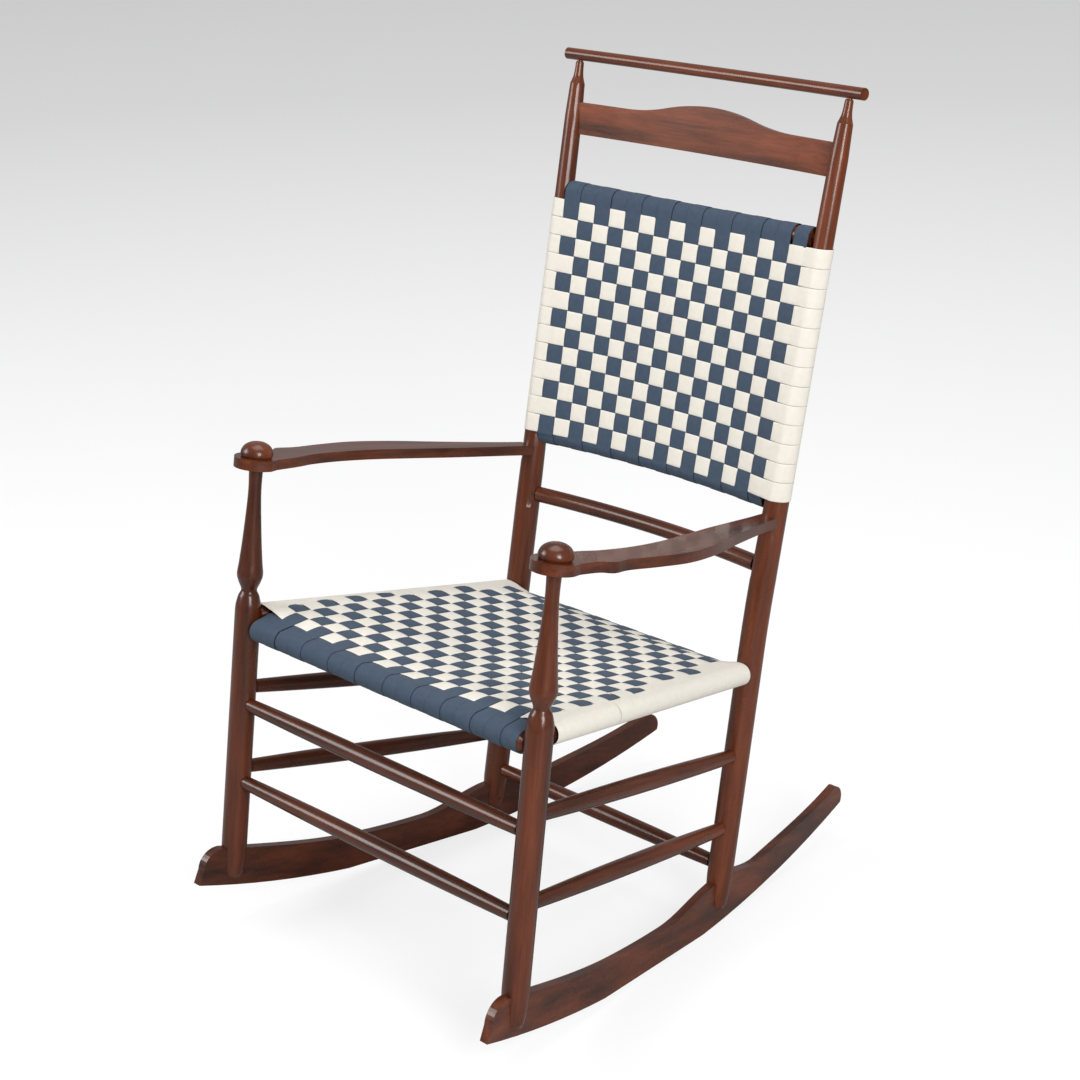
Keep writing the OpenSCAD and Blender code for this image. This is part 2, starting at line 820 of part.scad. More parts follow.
// Tacks under the first and last turns of the seat's warp
module seat_cross_tacks(grow, end_grow) {
  x = (seat_columns - 6)*tape_w/2;
  tack([-x, 0, front_seat_h - tape_rung_d/2 + 0.4], [0, 0, 1], grow, end_grow);
  tack([x, rear_seat[1], rear_seat[2] - tape_rung_d/2 + 0.4], [0, 0, 1], grow, end_grow);
}

// Tacks at the right side rung's underside for the two short tapes and the weft
module seat_side_tacks(grow, end_grow) {
  for (t = [0.2, 0.5, 0.8])
    let (p = mix(side_front, side_rear, t))
      tack(p - [0, 0, tape_rung_d/2 - 0.4], [0, 0, 1], grow, end_grow);
}

module back_tacks(grow, end_grow) {
  for (side = [-0.5, 0.5])
    let (x = side*back_high[0])
      tack([x, back_mid(x, back_high_h) + tape_rung_d/2 - 0.4,
        back_high_h - tape_rung_pull*bow_part(x, back_high_h)],
        [0, -1, 0], grow, end_grow);
}

module tape_tacks() {
  color(brass) {
    seat_cross_tacks(0, 0);
    both()
      seat_side_tacks(0, 0);
    back_tacks(0, 0);
  }
}

// Loop of tape round two level rungs, as an outline in the Y and Z plane
module loop_outline(p, q, r) {
  translate(p)
    circle(r = r);
  translate(q)
    circle(r = r);
  polygon([p + [0, -r], q + [0, -r], q + [0, r], p + [0, r]]);
}

module seat_warp() {
  p = [0, front_seat_h];
  q = [rear_seat[1], rear_seat_h];
  edge = tape_out_r + 2.9;
  color(blue)
    intersection() {
      for (i = [0:seat_columns - 1])
        translate([(i - seat_columns/2)*tape_w + tape_gap/2, 0, 0])
          rotate([90, 0, 90])
            linear_extrude(height = tape_w - tape_gap)
              difference() {
                loop_outline(p, q, tape_out_r);
                loop_outline(p, q, tape_in_r);
              }
      translate([0, 0, front_seat_h - 100])
        linear_extrude(height = 200)
          polygon([
            [side_front[0] - edge, -30],
            [side_front[0] - edge, 0],
            [side_rear[0] - edge, side_rear[1]],
            [side_rear[0] - edge, side_rear[1] + 30],
            [-side_rear[0] + edge, side_rear[1] + 30],
            [-side_rear[0] + edge, side_rear[1]],
            [-side_front[0] + edge, 0],
            [-side_front[0] + edge, -30]
          ]);
    }
}

// Axis of the right side seat rung at a distance from the front
function side_axis(y) = mix(side_front, side_rear, y/side_rear[1]);
function warp_top(y) = mix(front_seat_h, rear_seat_h, y/rear_seat[1]) + tape_out_r;
side_slant = atan2(side_front[0] - side_rear[0], side_rear[1]);

// Ring of the seat's weft: y is its place between the sides and end_y at the sides.
// The sides lie above the warp, so the upper half sinks towards the middle. The
// lower half is level and keeps clear of the front and rear rungs.
seat_steps = 8;
seat_flat = 12;
function weft_at(y, end_y, t) = mix(y, end_y, pow(abs(t), 4));
function dish(t) = t*t*(0.79 + 2.55*abs(t) - 2.34*t*t);
function seat_weft_ring(y, end_y, out) =
  let (p = side_axis(end_y))
  let (r = (tape_in_r + out)/cos(90/seat_steps))
  let (low_y = min(max(y, tape_in_r + 1.2), rear_seat[1] - tape_in_r - 1.2))
  [
    for (i = [1:seat_flat])
      let (t = 2*i/(seat_flat + 1) - 1)
      let (at = weft_at(y, end_y, t))
        [p[0]*t, at, mix(warp_top(at) + fit + out, p[2] + r, dish(t))],
    for (i = [0:seat_steps])
      let (a = mix(90, -90, i/seat_steps))
        p + r*[cos(a)*cos(side_slant), cos(a)*sin(side_slant), sin(a)],
    for (i = [1:seat_flat])
      let (t = 1 - 2*i/(seat_flat + 1))
        [p[0]*t, weft_at(low_y, end_y, t), p[2] - r],
    for (i = [0:seat_steps])
      let (a = mix(-90, 90, i/seat_steps))
        [-p[0], p[1], p[2]] + r*[-cos(a)*cos(side_slant), cos(a)*sin(side_slant), sin(a)]
  ];

module seat_weft() {
  near = post_r + 1.2;
  far = side_rear[1] - near;
  color(cream)
    for (i = [0:seat_rows - 1])
      let (a = mix(weft_front, weft_rear, (i + 1)/seat_rows) - tape_gap/2)
      let (b = mix(weft_front, weft_rear, i/seat_rows) + tape_gap/2)
      let (end_a = mix(near, far, (i + 1)/seat_rows) - tape_gap/2)
      let (end_b = mix(near, far, i/seat_rows) + tape_gap/2)
        strip(seat_weft_ring(a, end_a, tape_t), seat_weft_ring(a, end_a, 0),
          seat_weft_ring(b, end_b, tape_t), seat_weft_ring(b, end_b, 0));
}

// Stuffing of the seat, between the two layers of tape and inside the rungs
module seat_pad() {
  edge = tape_out_r + 3.5;
  front = 30;
  rear = rear_seat[1] - 30;
  low = -tape_in_r + 0.4;
  high = tape_in_r - 0.4;
  color(foam)
    intersection() {
      rotate([90, 0, 90])
        translate([0, 0, -front_span/2])
          linear_extrude(height = front_span)
            polygon([
              [front, side_axis(front)[2] + low],
              [rear, side_axis(rear)[2] + low],
              [rear, warp_top(rear) - tape_out_r + high],
              [front, warp_top(front) - tape_out_r + high]
            ]);
      linear_extrude(height = 2*seat_h)
        polygon([
          [side_axis(front)[0] - edge, front],
          [side_axis(rear)[0] - edge, rear],
          [-side_axis(rear)[0] + edge, rear],
          [-side_axis(front)[0] + edge, front]
        ]);
    }
}

// Middle surface of the back. bow_part is the part of the rungs' bow at x,
// from 0 at the posts to 1 in the middle.
function back_axis(z) = mix(back_low, back_high, (z - back_low_h)/(back_high_h - back_low_h));
function bow_part(x, z) =
  let (bow = norm([tape_rung_bow, tape_rung_pull]))
  let (r = bow_radius(back_axis(z)[0], bow))
    (bow - r + sqrt(r*r - x*x))/bow;
function back_mid(x, z) = back_axis(z)[1] + tape_rung_bow*bow_part(x, z);

// Closed strip between two loops of equally many points, each with an inner
// and an outer ring
module strip(outer_a, inner_a, outer_b, inner_b) {
  n = len(outer_a);
  polyhedron(
    points = concat(outer_a, inner_a, outer_b, inner_b),
    faces = [
      for (i = [0:n - 1])
        let (j = (i + 1)%n)
          for (f = [
            [i, j, 2*n + i], [j, 2*n + j, 2*n + i],
            [n + i, 3*n + i, n + j], [n + j, 3*n + i, 3*n + j],
            [i, n + i, j], [n + i, n + j, j],
            [2*n + i, 2*n + j, 3*n + i], [3*n + i, 2*n + j, 3*n + j]
          ]) f
    ]
  );
}

// Ring of the back's warp, which spreads a little towards the upper rung
back_steps = 8;
back_fan = (back_high[0] - rear_r(rear_u(back_high_h)) - 0.5)/back_edge;
function roll_z(x, z, pull) = z + pull*bow_part(x, z);
function warp_ring(x, r) = let (rr = r/cos(90/back_steps)) [
  for (i = [0:back_steps])
    let (a = mix(0, 180, i/back_steps))
    let (p = x*back_fan)
      [p, back_mid(p, back_high_h) - rr*cos(a),
        roll_z(p, back_high_h, -tape_rung_pull) + rr*sin(a)],
  for (i = [0:back_steps])
    let (a = mix(180, 360, i/back_steps))
      [x, back_mid(x, back_low_h) - rr*cos(a),
        roll_z(x, back_low_h, tape_rung_pull) + rr*sin(a)]
];
warp_in_r = tape_in_r + 0.15;
warp_out_r = warp_in_r + tape_t;

module back_warp() {
  reach = tape_w/2 - tape_gap/2;
  color(blue)
    for (i = [0:back_columns - 1])
      let (x = (i - (back_columns - 1)/2)*tape_w)
      let (a = max(x - reach, -back_edge))
      let (b = min(x + reach, back_edge))
        strip(warp_ring(a, warp_out_r), warp_ring(a, warp_in_r),
          warp_ring(b, warp_out_r), warp_ring(b, warp_in_r));
}

// Ring of the back's weft at one height: bowed sheets in front and behind, and
// half rounds outside both posts
function weft_ring(z, extra) =
  let (p = back_axis(z))
  let (r = max(rear_r(rear_u(z)) + 0.3, warp_out_r/cos(90/back_steps) + 0.3) + extra)
  let (rr = r/cos(90/back_steps))
  [
    for (i = [1:back_steps])
      let (x = mix(-p[0], p[0], i/(back_steps + 1)))
        [x, back_mid(x, z) - rr, z],
    for (i = [0:back_steps])
      let (a = mix(-90, 90, i/back_steps))
        [p[0] + rr*cos(a), p[1] + rr*sin(a), z],
    for (i = [1:back_steps])
      let (x = mix(p[0], -p[0], i/(back_steps + 1)))
        [x, back_mid(x, z) + rr, z],
    for (i = [0:back_steps])
      let (a = mix(90, 270, i/back_steps))
        [-p[0] + rr*cos(a), p[1] + rr*sin(a), z]
  ];

module back_weft() {
  reach = back_row_pitch/2 - tape_gap/2;
  color(cream)
    for (i = [0:back_rows - 1])
      let (z = weft_low + (i + 0.5)*back_row_pitch)
        strip(weft_ring(z + reach, tape_t), weft_ring(z + reach, 0),
          weft_ring(z - reach, tape_t), weft_ring(z - reach, 0));
}

// Stuffing of the back, which follows its bow between the two rungs
module back_pad() {
  half_t = tape_in_r - 0.8;
  edge = 6;
  low = back_low_h + tape_out_r + edge;
  high = back_high_h - tape_out_r - edge;
  nx = 12;
  nz = 4;
  function pad_x(z, i) =
    mix(-1, 1, i/nx)*(back_axis(z)[0] - rear_r(rear_u(z)) - 1.5);
  function pad_row(side) = [
    for (k = [0:nz])
      let (z = mix(low, high, k/nz))
        for (i = [0:nx])
          [pad_x(z, i), back_mid(pad_x(z, i), z) + side*half_t, z]
  ];
  m = nx + 1;
  s = m*(nz + 1);
  color(foam)
    polyhedron(
      points = concat(pad_row(-1), pad_row(1)),
      faces = concat(
        [for (k = [0:nz - 1]) for (i = [0:nx - 1]) for (f = [
          [k*m + i, (k + 1)*m + i, k*m + i + 1],
          [k*m + i + 1, (k + 1)*m + i, (k + 1)*m + i + 1],
          [s + k*m + i, s + k*m + i + 1, s + (k + 1)*m + i],
          [s + k*m + i + 1, s + (k + 1)*m + i + 1, s + (k + 1)*m + i]
        ]) f],
        [for (i = [0:nx - 1]) for (f = [
          [i, i + 1, s + i], [i + 1, s + i + 1, s + i],
          [nz*m + i, s + nz*m + i, nz*m + i + 1],
          [nz*m + i + 1, s + nz*m + i, s + nz*m + i + 1]
        ]) f],
        [for (k = [0:nz - 1]) for (f = [
          [k*m, s + k*m, (k + 1)*m], [(k + 1)*m, s + k*m, s + (k + 1)*m],
          [k*m + nx, (k + 1)*m + nx, s + k*m + nx],
          [(k + 1)*m + nx, s + (k + 1)*m + nx, s + k*m + nx]
        ]) f]
      )
    );
}

at_rest() mirror([1, 0, 0]) rocker();  // rocker_left
at_rest() rocker();  // rocker_right
at_rest() mirror([1, 0, 0]) front_post();  // front_post_left
at_rest() front_post();  // front_post_right
at_rest() mirror([1, 0, 0]) rear_post();  // rear_post_left
at_rest() rear_post();  // rear_post_right
at_rest() mirror([1, 0, 0]) arm();  // arm_left
at_rest() arm();  // arm_right
at_rest() mirror([1, 0, 0]) arm_cap();  // arm_cap_left
at_rest() arm_cap();  // arm_cap_right
at_rest() shawl_rail();
at_rest() top_slat();
at_rest() back_top_rung();
at_rest() back_bottom_rung();
at_rest() back_rung();
at_rest() seat_front_rung();
at_rest() seat_rear_rung();
at_rest() mirror([1, 0, 0]) seat_side_rung();  // seat_left_rung
at_rest() seat_side_rung();  // seat_right_rung
at_rest() front_rung(front_high_h);  // front_rung_upper
at_rest() front_rung(front_low_h);  // front_rung_lower
at_rest() mirror([1, 0, 0]) side_rung(side_high_front_h, side_high_rear_h);  // left_rung_upper
at_rest() mirror([1, 0, 0]) side_rung(side_low_front_h, side_low_rear_h);  // left_rung_lower
at_rest() side_rung(side_high_front_h, side_high_rear_h);  // right_rung_upper
at_rest() side_rung(side_low_front_h, side_low_rear_h);  // right_rung_lower
at_rest() rear_rung();
at_rest() rocker_pins();
at_rest() slat_pins();
at_rest() tape_tacks();
at_rest() seat_pad();
at_rest() back_pad();
at_rest() seat_warp();
at_rest() seat_weft();
at_rest() back_warp();
at_rest() back_weft();
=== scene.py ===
"""Looks of the armed rocking chair with a checkered tape seat and back."""

import math

import bpy
import numpy as np
from mathutils import Matrix, Vector


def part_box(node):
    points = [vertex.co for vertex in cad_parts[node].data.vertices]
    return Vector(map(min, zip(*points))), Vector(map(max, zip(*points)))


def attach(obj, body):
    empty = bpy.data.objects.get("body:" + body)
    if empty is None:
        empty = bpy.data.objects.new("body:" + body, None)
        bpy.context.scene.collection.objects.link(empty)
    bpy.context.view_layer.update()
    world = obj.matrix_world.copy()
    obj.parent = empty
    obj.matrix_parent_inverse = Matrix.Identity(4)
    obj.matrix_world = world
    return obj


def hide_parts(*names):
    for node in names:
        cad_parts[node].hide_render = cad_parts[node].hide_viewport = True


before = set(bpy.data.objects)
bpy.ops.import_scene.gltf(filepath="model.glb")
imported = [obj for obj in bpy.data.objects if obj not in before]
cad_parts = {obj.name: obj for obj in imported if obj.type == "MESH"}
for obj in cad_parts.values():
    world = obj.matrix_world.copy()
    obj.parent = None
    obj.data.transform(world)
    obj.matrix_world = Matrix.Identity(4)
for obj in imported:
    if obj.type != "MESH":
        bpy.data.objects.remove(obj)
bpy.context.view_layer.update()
rng = np.random.default_rng(7)

# Sizes of the chair in millimetres, as drawn upright before it leans back
ROCKER_R = 1290.0
ROCKER_Y = 174.0
NOSE_Y = -53.0
LEAN = math.radians(8.62)
LEAN_C, LEAN_S = math.cos(LEAN), math.sin(LEAN)
FRONT_SPAN, REAR_SPAN, POST_DEPTH = 520.0, 415.0, 419.0
SEAT_H, SEAT_FALL, SEAT_STEP = 378.0, 13.5, 14.0
BACK_LOW_H, BACK_HIGH_H = 587.0, 913.0
TAPE_BOW, TAPE_PULL = 16.0, 3.0
RUNG_R = 13.0
TAPE_W, TAPE_T = 25.05, 1.0
ROLL_R = RUNG_R + 0.65

# Rear posts: their lean in degrees, and the bend and splay above the seat
REAR_LEAN, REAR_BEND, REAR_SPLAY = 2.2, 1.7, 1.4
BEND_START, BEND_L = 393.0, 90.0
TAPER_H, TAPER_R = [483, 1011, 1052], [16.5, 11.5, 9.7]


def underside(y):
    """Height of a rocker's underside in the upright drawing."""
    return ROCKER_R - math.sqrt(ROCKER_R**2 - (y - ROCKER_Y) ** 2)


def lean_back(p):
    """Drawn millimetres to leaning millimetres, before the box is centred."""
    p = np.asarray(p, float)
    y, z = p[..., 1] - ROCKER_Y, p[..., 2] - ROCKER_R
    return np.stack(
        [p[..., 0], ROCKER_Y + LEAN_C * y + LEAN_S * z, ROCKER_R - LEAN_S * y + LEAN_C * z],
        axis=-1,
    )


# Distance from the drawn Y to the middle of the leaning chair's box
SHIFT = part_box("rocker_right")[0][1] * 1000 - lean_back([[0.0, NOSE_Y, underside(NOSE_Y)]])[0, 1]


def rest(p):
    """Drawn millimetres to the frame's metres."""
    q = lean_back(p)
    q[..., 1] += SHIFT
    return q / 1000


def turn(v):
    """A direction of the upright drawing as it is in the leaning chair."""
    return Vector((v[0], LEAN_C * v[1] + LEAN_S * v[2], -LEAN_S * v[1] + LEAN_C * v[2]))


def rear_axis(z):
    """Axis of the right rear post at a height: straight, a gentle bend, straight."""
    lean, back, splay = (math.tan(math.radians(a)) for a in (REAR_LEAN, REAR_BEND, REAR_SPLAY))
    t = np.clip((np.asarray(z, float) - BEND_START) / BEND_L, 0, None)
    bent = np.where(t < 1, t * t / 2, t - 0.5) * BEND_L
    return REAR_SPAN / 2 + splay * bent, POST_DEPTH + lean * z + back * bent


def post_r(z):
    return np.interp(z, TAPER_H, TAPER_R)


def add_object(name, data):
    o = bpy.data.objects.new(name, data)
    bpy.context.scene.collection.objects.link(o)
    return o


def dress(o, stands_for):
    """Makes the piece stand for a soft CAD node on the chair's one body."""
    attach(o, "root")
    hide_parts(stands_for)


# Materials


def material(name):
    m = bpy.data.materials.new(name)
    m.use_nodes = True
    t = m.node_tree
    return m, t.nodes["Principled BSDF"], t.nodes.new, t.links.new


def put(node, **values):
    """Sets inputs of a node, with underscores for the spaces in their names."""
    for key, value in values.items():
        node.inputs[key.replace("_", " ")].default_value = value
    return node


def mixer(new, blend="MIX", **values):
    node = new("ShaderNodeMix")
    node.data_type = "RGBA"
    node.blend_type = blend
    return put(node, **values)


def ramp(new, *stops):
    """Colour ramp through the given places and colours."""
    node = new("ShaderNodeValToRGB")
    elements = node.color_ramp.elements
    for k, (place, colour) in ((0, stops[0]), (1, stops[-1])):
        elements[k].position = place
        elements[k].color = (*colour, 1)
    for place, colour in stops[1:-1]:
        elements.new(place).color = (*colour, 1)
    return node


def bumped(new, link, bsdf, height, strength, distance):
    bump = put(new("ShaderNodeBump"), Strength=strength, Distance=distance)
    link(height, bump.inputs["Height"])
    link(bump.outputs["Normal"], bsdf.inputs["Normal"])


WOOD_DARK = (0.029, 0.0075, 0.0028)
WOOD_LIGHT = (0.142, 0.033, 0.0105)


def wood_material(name, axis, tone, seed):
    """Dark varnished walnut with its grain along the given direction."""
    m, bsdf, new, link = material(name)
    coord = new("ShaderNodeTexCoord")
    line = new("ShaderNodeMapping")
    line.vector_type = "POINT"
    spin = Vector((0, 0, 1)).rotation_difference(Vector(axis).normalized()).inverted()
    put(line, Rotation=spin.to_euler())
    link(coord.outputs["Object"], line.inputs["Vector"])
    stretch = put(
        new("ShaderNodeMapping"), Scale=(1, 1, 0.07), Location=(seed, seed * 1.7, seed * 0.3)
    )
    link(line.outputs["Vector"], stretch.inputs["Vector"])

    # Broad figure of the wood, fine pores and rubbed places
    broad = put(new("ShaderNodeTexNoise"), Scale=38, Detail=5, Roughness=0.6)
    link(stretch.outputs["Vector"], broad.inputs["Vector"])
    fine = put(new("ShaderNodeTexNoise"), Scale=320, Detail=4)
    link(stretch.outputs["Vector"], fine.inputs["Vector"])
    wear = put(new("ShaderNodeTexNoise"), Scale=9, Detail=3)
    link(line.outputs["Vector"], wear.inputs["Vector"])

    # Where tone is not 1, it paints light or shade into the piece's colours
    dark, light = ([c * tone for c in colour] for colour in (WOOD_DARK, WOOD_LIGHT))
    figure = ramp(new, (0.3, dark), (0.72, light))
    link(broad.outputs["Fac"], figure.inputs["Fac"])
    tint = ramp(new, (0.38, (0.45, 0.42, 0.4)), (0.55, (1, 1, 1)))
    link(fine.outputs["Fac"], tint.inputs["Fac"])
    pores = mixer(new, "MULTIPLY", Factor=0.35)
    link(figure.outputs["Color"], pores.inputs["A"])
    link(tint.outputs["Color"], pores.inputs["B"])
    shade = ramp(new, (0.35, (0.5, 0.5, 0.5)), (0.65, (1, 1, 1)))
    link(wear.outputs["Fac"], shade.inputs["Fac"])
    rub = mixer(new, "MULTIPLY", Factor=0.35)
    link(pores.outputs["Result"], rub.inputs["A"])
    link(shade.outputs["Color"], rub.inputs["B"])
    link(rub.outputs["Result"], bsdf.inputs["Base Color"])

    gloss = put(new("ShaderNodeMapRange"), To_Min=0.2, To_Max=0.36)
    link(wear.outputs["Fac"], gloss.inputs["Value"])
    link(gloss.outputs["Result"], bsdf.inputs["Roughness"])
    bumped(new, link, bsdf, fine.outputs["Fac"], 0.12, 0.0006)
    put(bsdf, Specular_IOR_Level=0.28, Coat_Weight=0.2, Coat_Roughness=0.09)
    return m


def tape_material(name, colour, dark, edge):
    """Closely woven cotton tape: fine ribs along it and finer threads across it."""
    m, bsdf, new, link = material(name)
    uv = new("ShaderNodeUVMap")
    uv.uv_map = "UVMap"

    def bands(direction, scale, distortion):
        node = new("ShaderNodeTexWave")
        node.wave_type = "BANDS"
        node.bands_direction = direction
        put(node, Scale=scale, Distortion=distortion, Detail=1)
        link(uv.outputs["UV"], node.inputs["Vector"])
        return node.outputs["Fac"]

    threads = new("ShaderNodeMath")
    threads.operation = "MULTIPLY"
    link(bands("X", 11, 0.6), threads.inputs[0])
    link(bands("Y", 13, 0.8), threads.inputs[1])

    # Clouds of darker dye, and painted shade between the threads
    cloud = put(new("ShaderNodeTexNoise"), Scale=3.2, Detail=4)
    link(uv.outputs["UV"], cloud.inputs["Vector"])
    level = put(new("ShaderNodeMapRange"), From_Min=0.25, From_Max=0.6)
    link(cloud.outputs["Fac"], level.inputs["Value"])
    dye = mixer(new, A=(*dark, 1), B=(*colour, 1))
    link(level.outputs["Result"], dye.inputs["Factor"])
    cloth = mixer(new, "MULTIPLY", Factor=0.14)
    link(dye.outputs["Result"], cloth.inputs["A"])
    link(threads.outputs["Value"], cloth.inputs["B"])

    # The tape's narrow edges, which the second UV layer marks, lie in shadow
    mark = new("ShaderNodeUVMap")
    mark.uv_map = "Edge"
    split = new("ShaderNodeSeparateXYZ")
    link(mark.outputs["UV"], split.inputs["Vector"])
    rim = mixer(new, B=(*[c * edge for c in dark], 1))
    link(split.outputs["X"], rim.inputs["Factor"])
    link(cloth.outputs["Result"], rim.inputs["A"])
    link(rim.outputs["Result"], bsdf.inputs["Base Color"])
    put(bsdf, Roughness=0.82, Specular_IOR_Level=0.12, Sheen_Weight=0.05)
    bumped(new, link, bsdf, threads.outputs["Value"], 0.25, 0.0004)
    return m


def plain(name, colour, rough, metal):
    m, bsdf = material(name)[:2]
    put(bsdf, Base_Color=(*colour, 1), Roughness=rough, Metallic=metal)
    return m


BLUE = tape_material("tape_blue", (0.050, 0.074, 0.110), (0.043, 0.064, 0.097), 0.25)
CREAM = tape_material("tape_cream", (0.72, 0.683, 0.608), (0.69, 0.653, 0.578), 0.75)
# The stuffing is a real pad; its dark colour is painted shade for the gaps between the tapes
PAD_PAINTED_SHADE = plain("stuffing", (0.12, 0.11, 0.1), 0.95, 0.0)
BRASS = plain("tack_brass", (0.45, 0.3, 0.08), 0.35, 1.0)

# Direction of the grain in the upright drawing, along X where none is given
TOWARDS_LEFT, TOWARDS_RIGHT = -0.12, 0.12
GRAIN = {
    "rocker_left": (TOWARDS_LEFT, 1, 0),
    "rocker_right": (TOWARDS_RIGHT, 1, 0),
    "front_post_left": (0, 0, 1),
    "front_post_right": (0, 0, 1),
    "rear_post_left": (0, 0.07, 1),
    "rear_post_right": (0, 0.07, 1),
    "arm_left": (TOWARDS_RIGHT, 1, 0),
    "arm_right": (TOWARDS_LEFT, 1, 0),
    "arm_cap_left": (0, 0, 1),
    "arm_cap_right": (0, 0, 1),
    "left_rung_upper": (TOWARDS_RIGHT, 1, -0.07),
    "left_rung_lower": (TOWARDS_RIGHT, 1, -0.04),
    "right_rung_upper": (TOWARDS_LEFT, 1, -0.07),
    "right_rung_lower": (TOWARDS_LEFT, 1, -0.04),
    "seat_left_rung": (TOWARDS_RIGHT, 1, 0),
    "seat_right_rung": (TOWARDS_LEFT, 1, 0),
}
# Pieces painted darker for shade, the left side and the front rungs, and lighter for light and
# reflection, the right rear post and the top slat
LIT_AND_SHADED_TONE = {
    "front_post_left": 0.78,
    "rocker_left": 0.8,
    "front_rung_upper": 0.8,
    "front_rung_lower": 0.8,
    "left_rung_upper": 0.8,
    "left_rung_lower": 0.8,
    "rear_post_right": 1.25,
    "top_slat": 1.7,
}
SOFT = ("seat_pad", "back_pad", "seat_warp", "seat_weft", "back_warp", "back_weft")
for i, (name, node) in enumerate(sorted(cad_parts.items())):
    if name in SOFT:
        continue
    if name == "tape_tacks":
        m = BRASS
    else:
        axis = turn(GRAIN.get(name, (1, 0, 0)))
        m = wood_material("wood_" + name, axis, LIT_AND_SHADED_TONE.get(name, 1.0), 0.37 * i)
    node.data.materials.clear()
    node.data.materials.append(m)


# Woven tape

# Places across a tape, and how much its rounded edges droop
ACROSS = np.array([-1, -0.9, -0.5, 0, 0.5, 0.9, 1])
DROOP = 0.1 * np.abs(ACROSS) ** 3
# Thickness across a tape as a share of the full one
RIM = np.where(np.abs(ACROSS) == 1, 0.55, 1.0)
# Raises a tape's edges where neighbours lie flush round a rung or a post
FLUSH = DROOP + 0.22 * (np.abs(ACROSS) == 1)


def smooth(t):
    t = np.clip(t, 0, 1)
    return t * t * (3 - 2 * t)


def unit(v):
    return v / np.maximum(np.linalg.norm(v, axis=-1, keepdims=True), 1e-9)


def arch(phase):
    """Height of a tape that passes over and under, as the phase counts crossings."""
    c = np.cos(np.pi * np.asarray(phase, float))
    return np.sign(c) * np.abs(c) ** 0.7


def spread(low, high):
    """Seven places from low to high, one column for each point across a tape."""
    low, high = np.asarray(low, float)[..., None], np.asarray(high, float)[..., None]
    return (low + high) / 2 + (high - low) / 2 * ACROSS


class Cloth:
    """Collects closed loops of flat tape as one mesh."""

    def __init__(self):
        self.v, self.f, self.uv, self.edge = [], [], [], []
        self.count = 0
        self.area = 0.0

    def add(self, base, normal, height):
        """Adds a loop over drawn points (along, across, 3), at heights along their normals."""
        base, normal = np.asarray(base, float), unit(np.asarray(normal, float))
        n, m = base.shape[:2]
        sheets = []
        for face in (1, -1):
            h = height + face * TAPE_T / 2 * RIM - DROOP
            sheets.append(base + normal * h[..., None])
        along = np.linalg.norm(np.roll(base, -1, 0) - base, axis=2).mean(1)
        wide = np.linalg.norm(np.diff(base, axis=1), axis=2).sum(1)
        self.area += float((along * wide).sum())
        run = np.concatenate([[0], np.cumsum(along)])
        seed = rng.uniform(0, 40)
        self.v.append(rest(np.concatenate(sheets, 1).reshape(-1, 3)))
        k = 2 * m
        ring = list(range(m)) + list(range(2 * m - 1, m - 1, -1))
        for i in range(n):
            here, there = self.count + i * k, self.count + (i + 1) % n * k
            v0, v1 = run[i] / TAPE_W, run[i + 1] / TAPE_W
            for a in range(k):
                p, q = ring[a], ring[(a + 1) % k]
                self.f.append((here + p, here + q, there + q, there + p))
                up, uq = ACROSS[p % m] * 0.5 + seed, ACROSS[q % m] * 0.5 + seed
                self.uv.append([(up, v0), (uq, v0), (uq, v1), (up, v1)])
                self.edge.append(1.0 if p % m == q % m else 0.0)
        self.count += n * k

    def build(self, name, mat, slot, stands_for):
        mesh = bpy.data.meshes.new(name)
        mesh.from_pydata(np.concatenate(self.v).tolist(), [], self.f)
        layer = mesh.uv_layers.new(name="UVMap")
        layer.data.foreach_set("uv", np.array([c for f in self.uv for c in f]).ravel())
        mark = mesh.uv_layers.new(name="Edge")
        flags = np.repeat(self.edge, [len(f) for f in self.f])
        mark.data.foreach_set("uv", np.stack([flags, flags], 1).ravel())
        mesh.polygons.foreach_set("use_smooth", [True] * len(mesh.polygons))
        mesh.materials.append(mat)
        mesh.update()
        o = add_object(name, mesh)
        dress(o, stands_for)
        return o


# Seat

REAR_X, REAR_Y = (float(v) for v in rear_axis(SEAT_H - SEAT_FALL - SEAT_STEP))
FRONT_RUNG_Z = SEAT_H - SEAT_STEP
REAR_RUNG_Z = SEAT_H - SEAT_FALL - SEAT_STEP
COLUMNS, ROWS = 19, 17
# Height to which the weave rises above and sinks below its middle surface
SEAT_A = 0.85
# Height on the rolls of a tape that comes from above the weave, and from below it
SEAT_LIFT = (0.5, -0.1)
# Where the outer blue tapes end, as the seat grows narrower towards the rear
SHORT_END = (222.0, 344.0)
# Distance from the front and rear rungs at which the tapes leave the woven surface
JOIN = 38.0
# Distance that the lower layer's rows keep from both rungs
LOW_CLEAR = 16
# Least width of a tape that a post cuts off
NARROWEST = 0.3
# Edge between two rows that has opened on the right side rung
OPEN_SEAM = 5

# Rolls on the front and rear rungs: their centre, where the tapes leave the woven
# surface, the side that they come from, and the angle of the roll's lowest point
FRONT_ROLL = (0.0, FRONT_RUNG_Z, JOIN, 1, math.pi * 1.5)
REAR_ROLL = (REAR_Y, REAR_RUNG_Z, REAR_Y - JOIN, -1, -math.pi / 2)

# Edges between the cream rows, in the middle of the seat and at its sides
ROWS_MIDDLE = np.array(
    [14.5, 40.3, 66.7, 93.6, 119.7, 145.2, 169.6, 194, 218.2]
    + [242.2, 266, 289.7, 314, 338.7, 362.5, 385.5, 407.5, 429.5]
)
ROWS_SIDE = np.array(
    [17.8, 40, 64.5, 89.2, 113.5, 137.7, 161.5, 185.5, 210.5]
    + [235.2, 260.5, 285.5, 310.5, 335, 357.5, 378.5, 397.5, 415.3]
)
# Places along the middle of the seat's upper layer, from front to rear
MIDDLE = [(22, 374.4), (55, 374.7), (110, 374.7), (155, 374.2)]
MIDDLE += [(230, 373.2), (278, 372.7), (392, 372.0)]


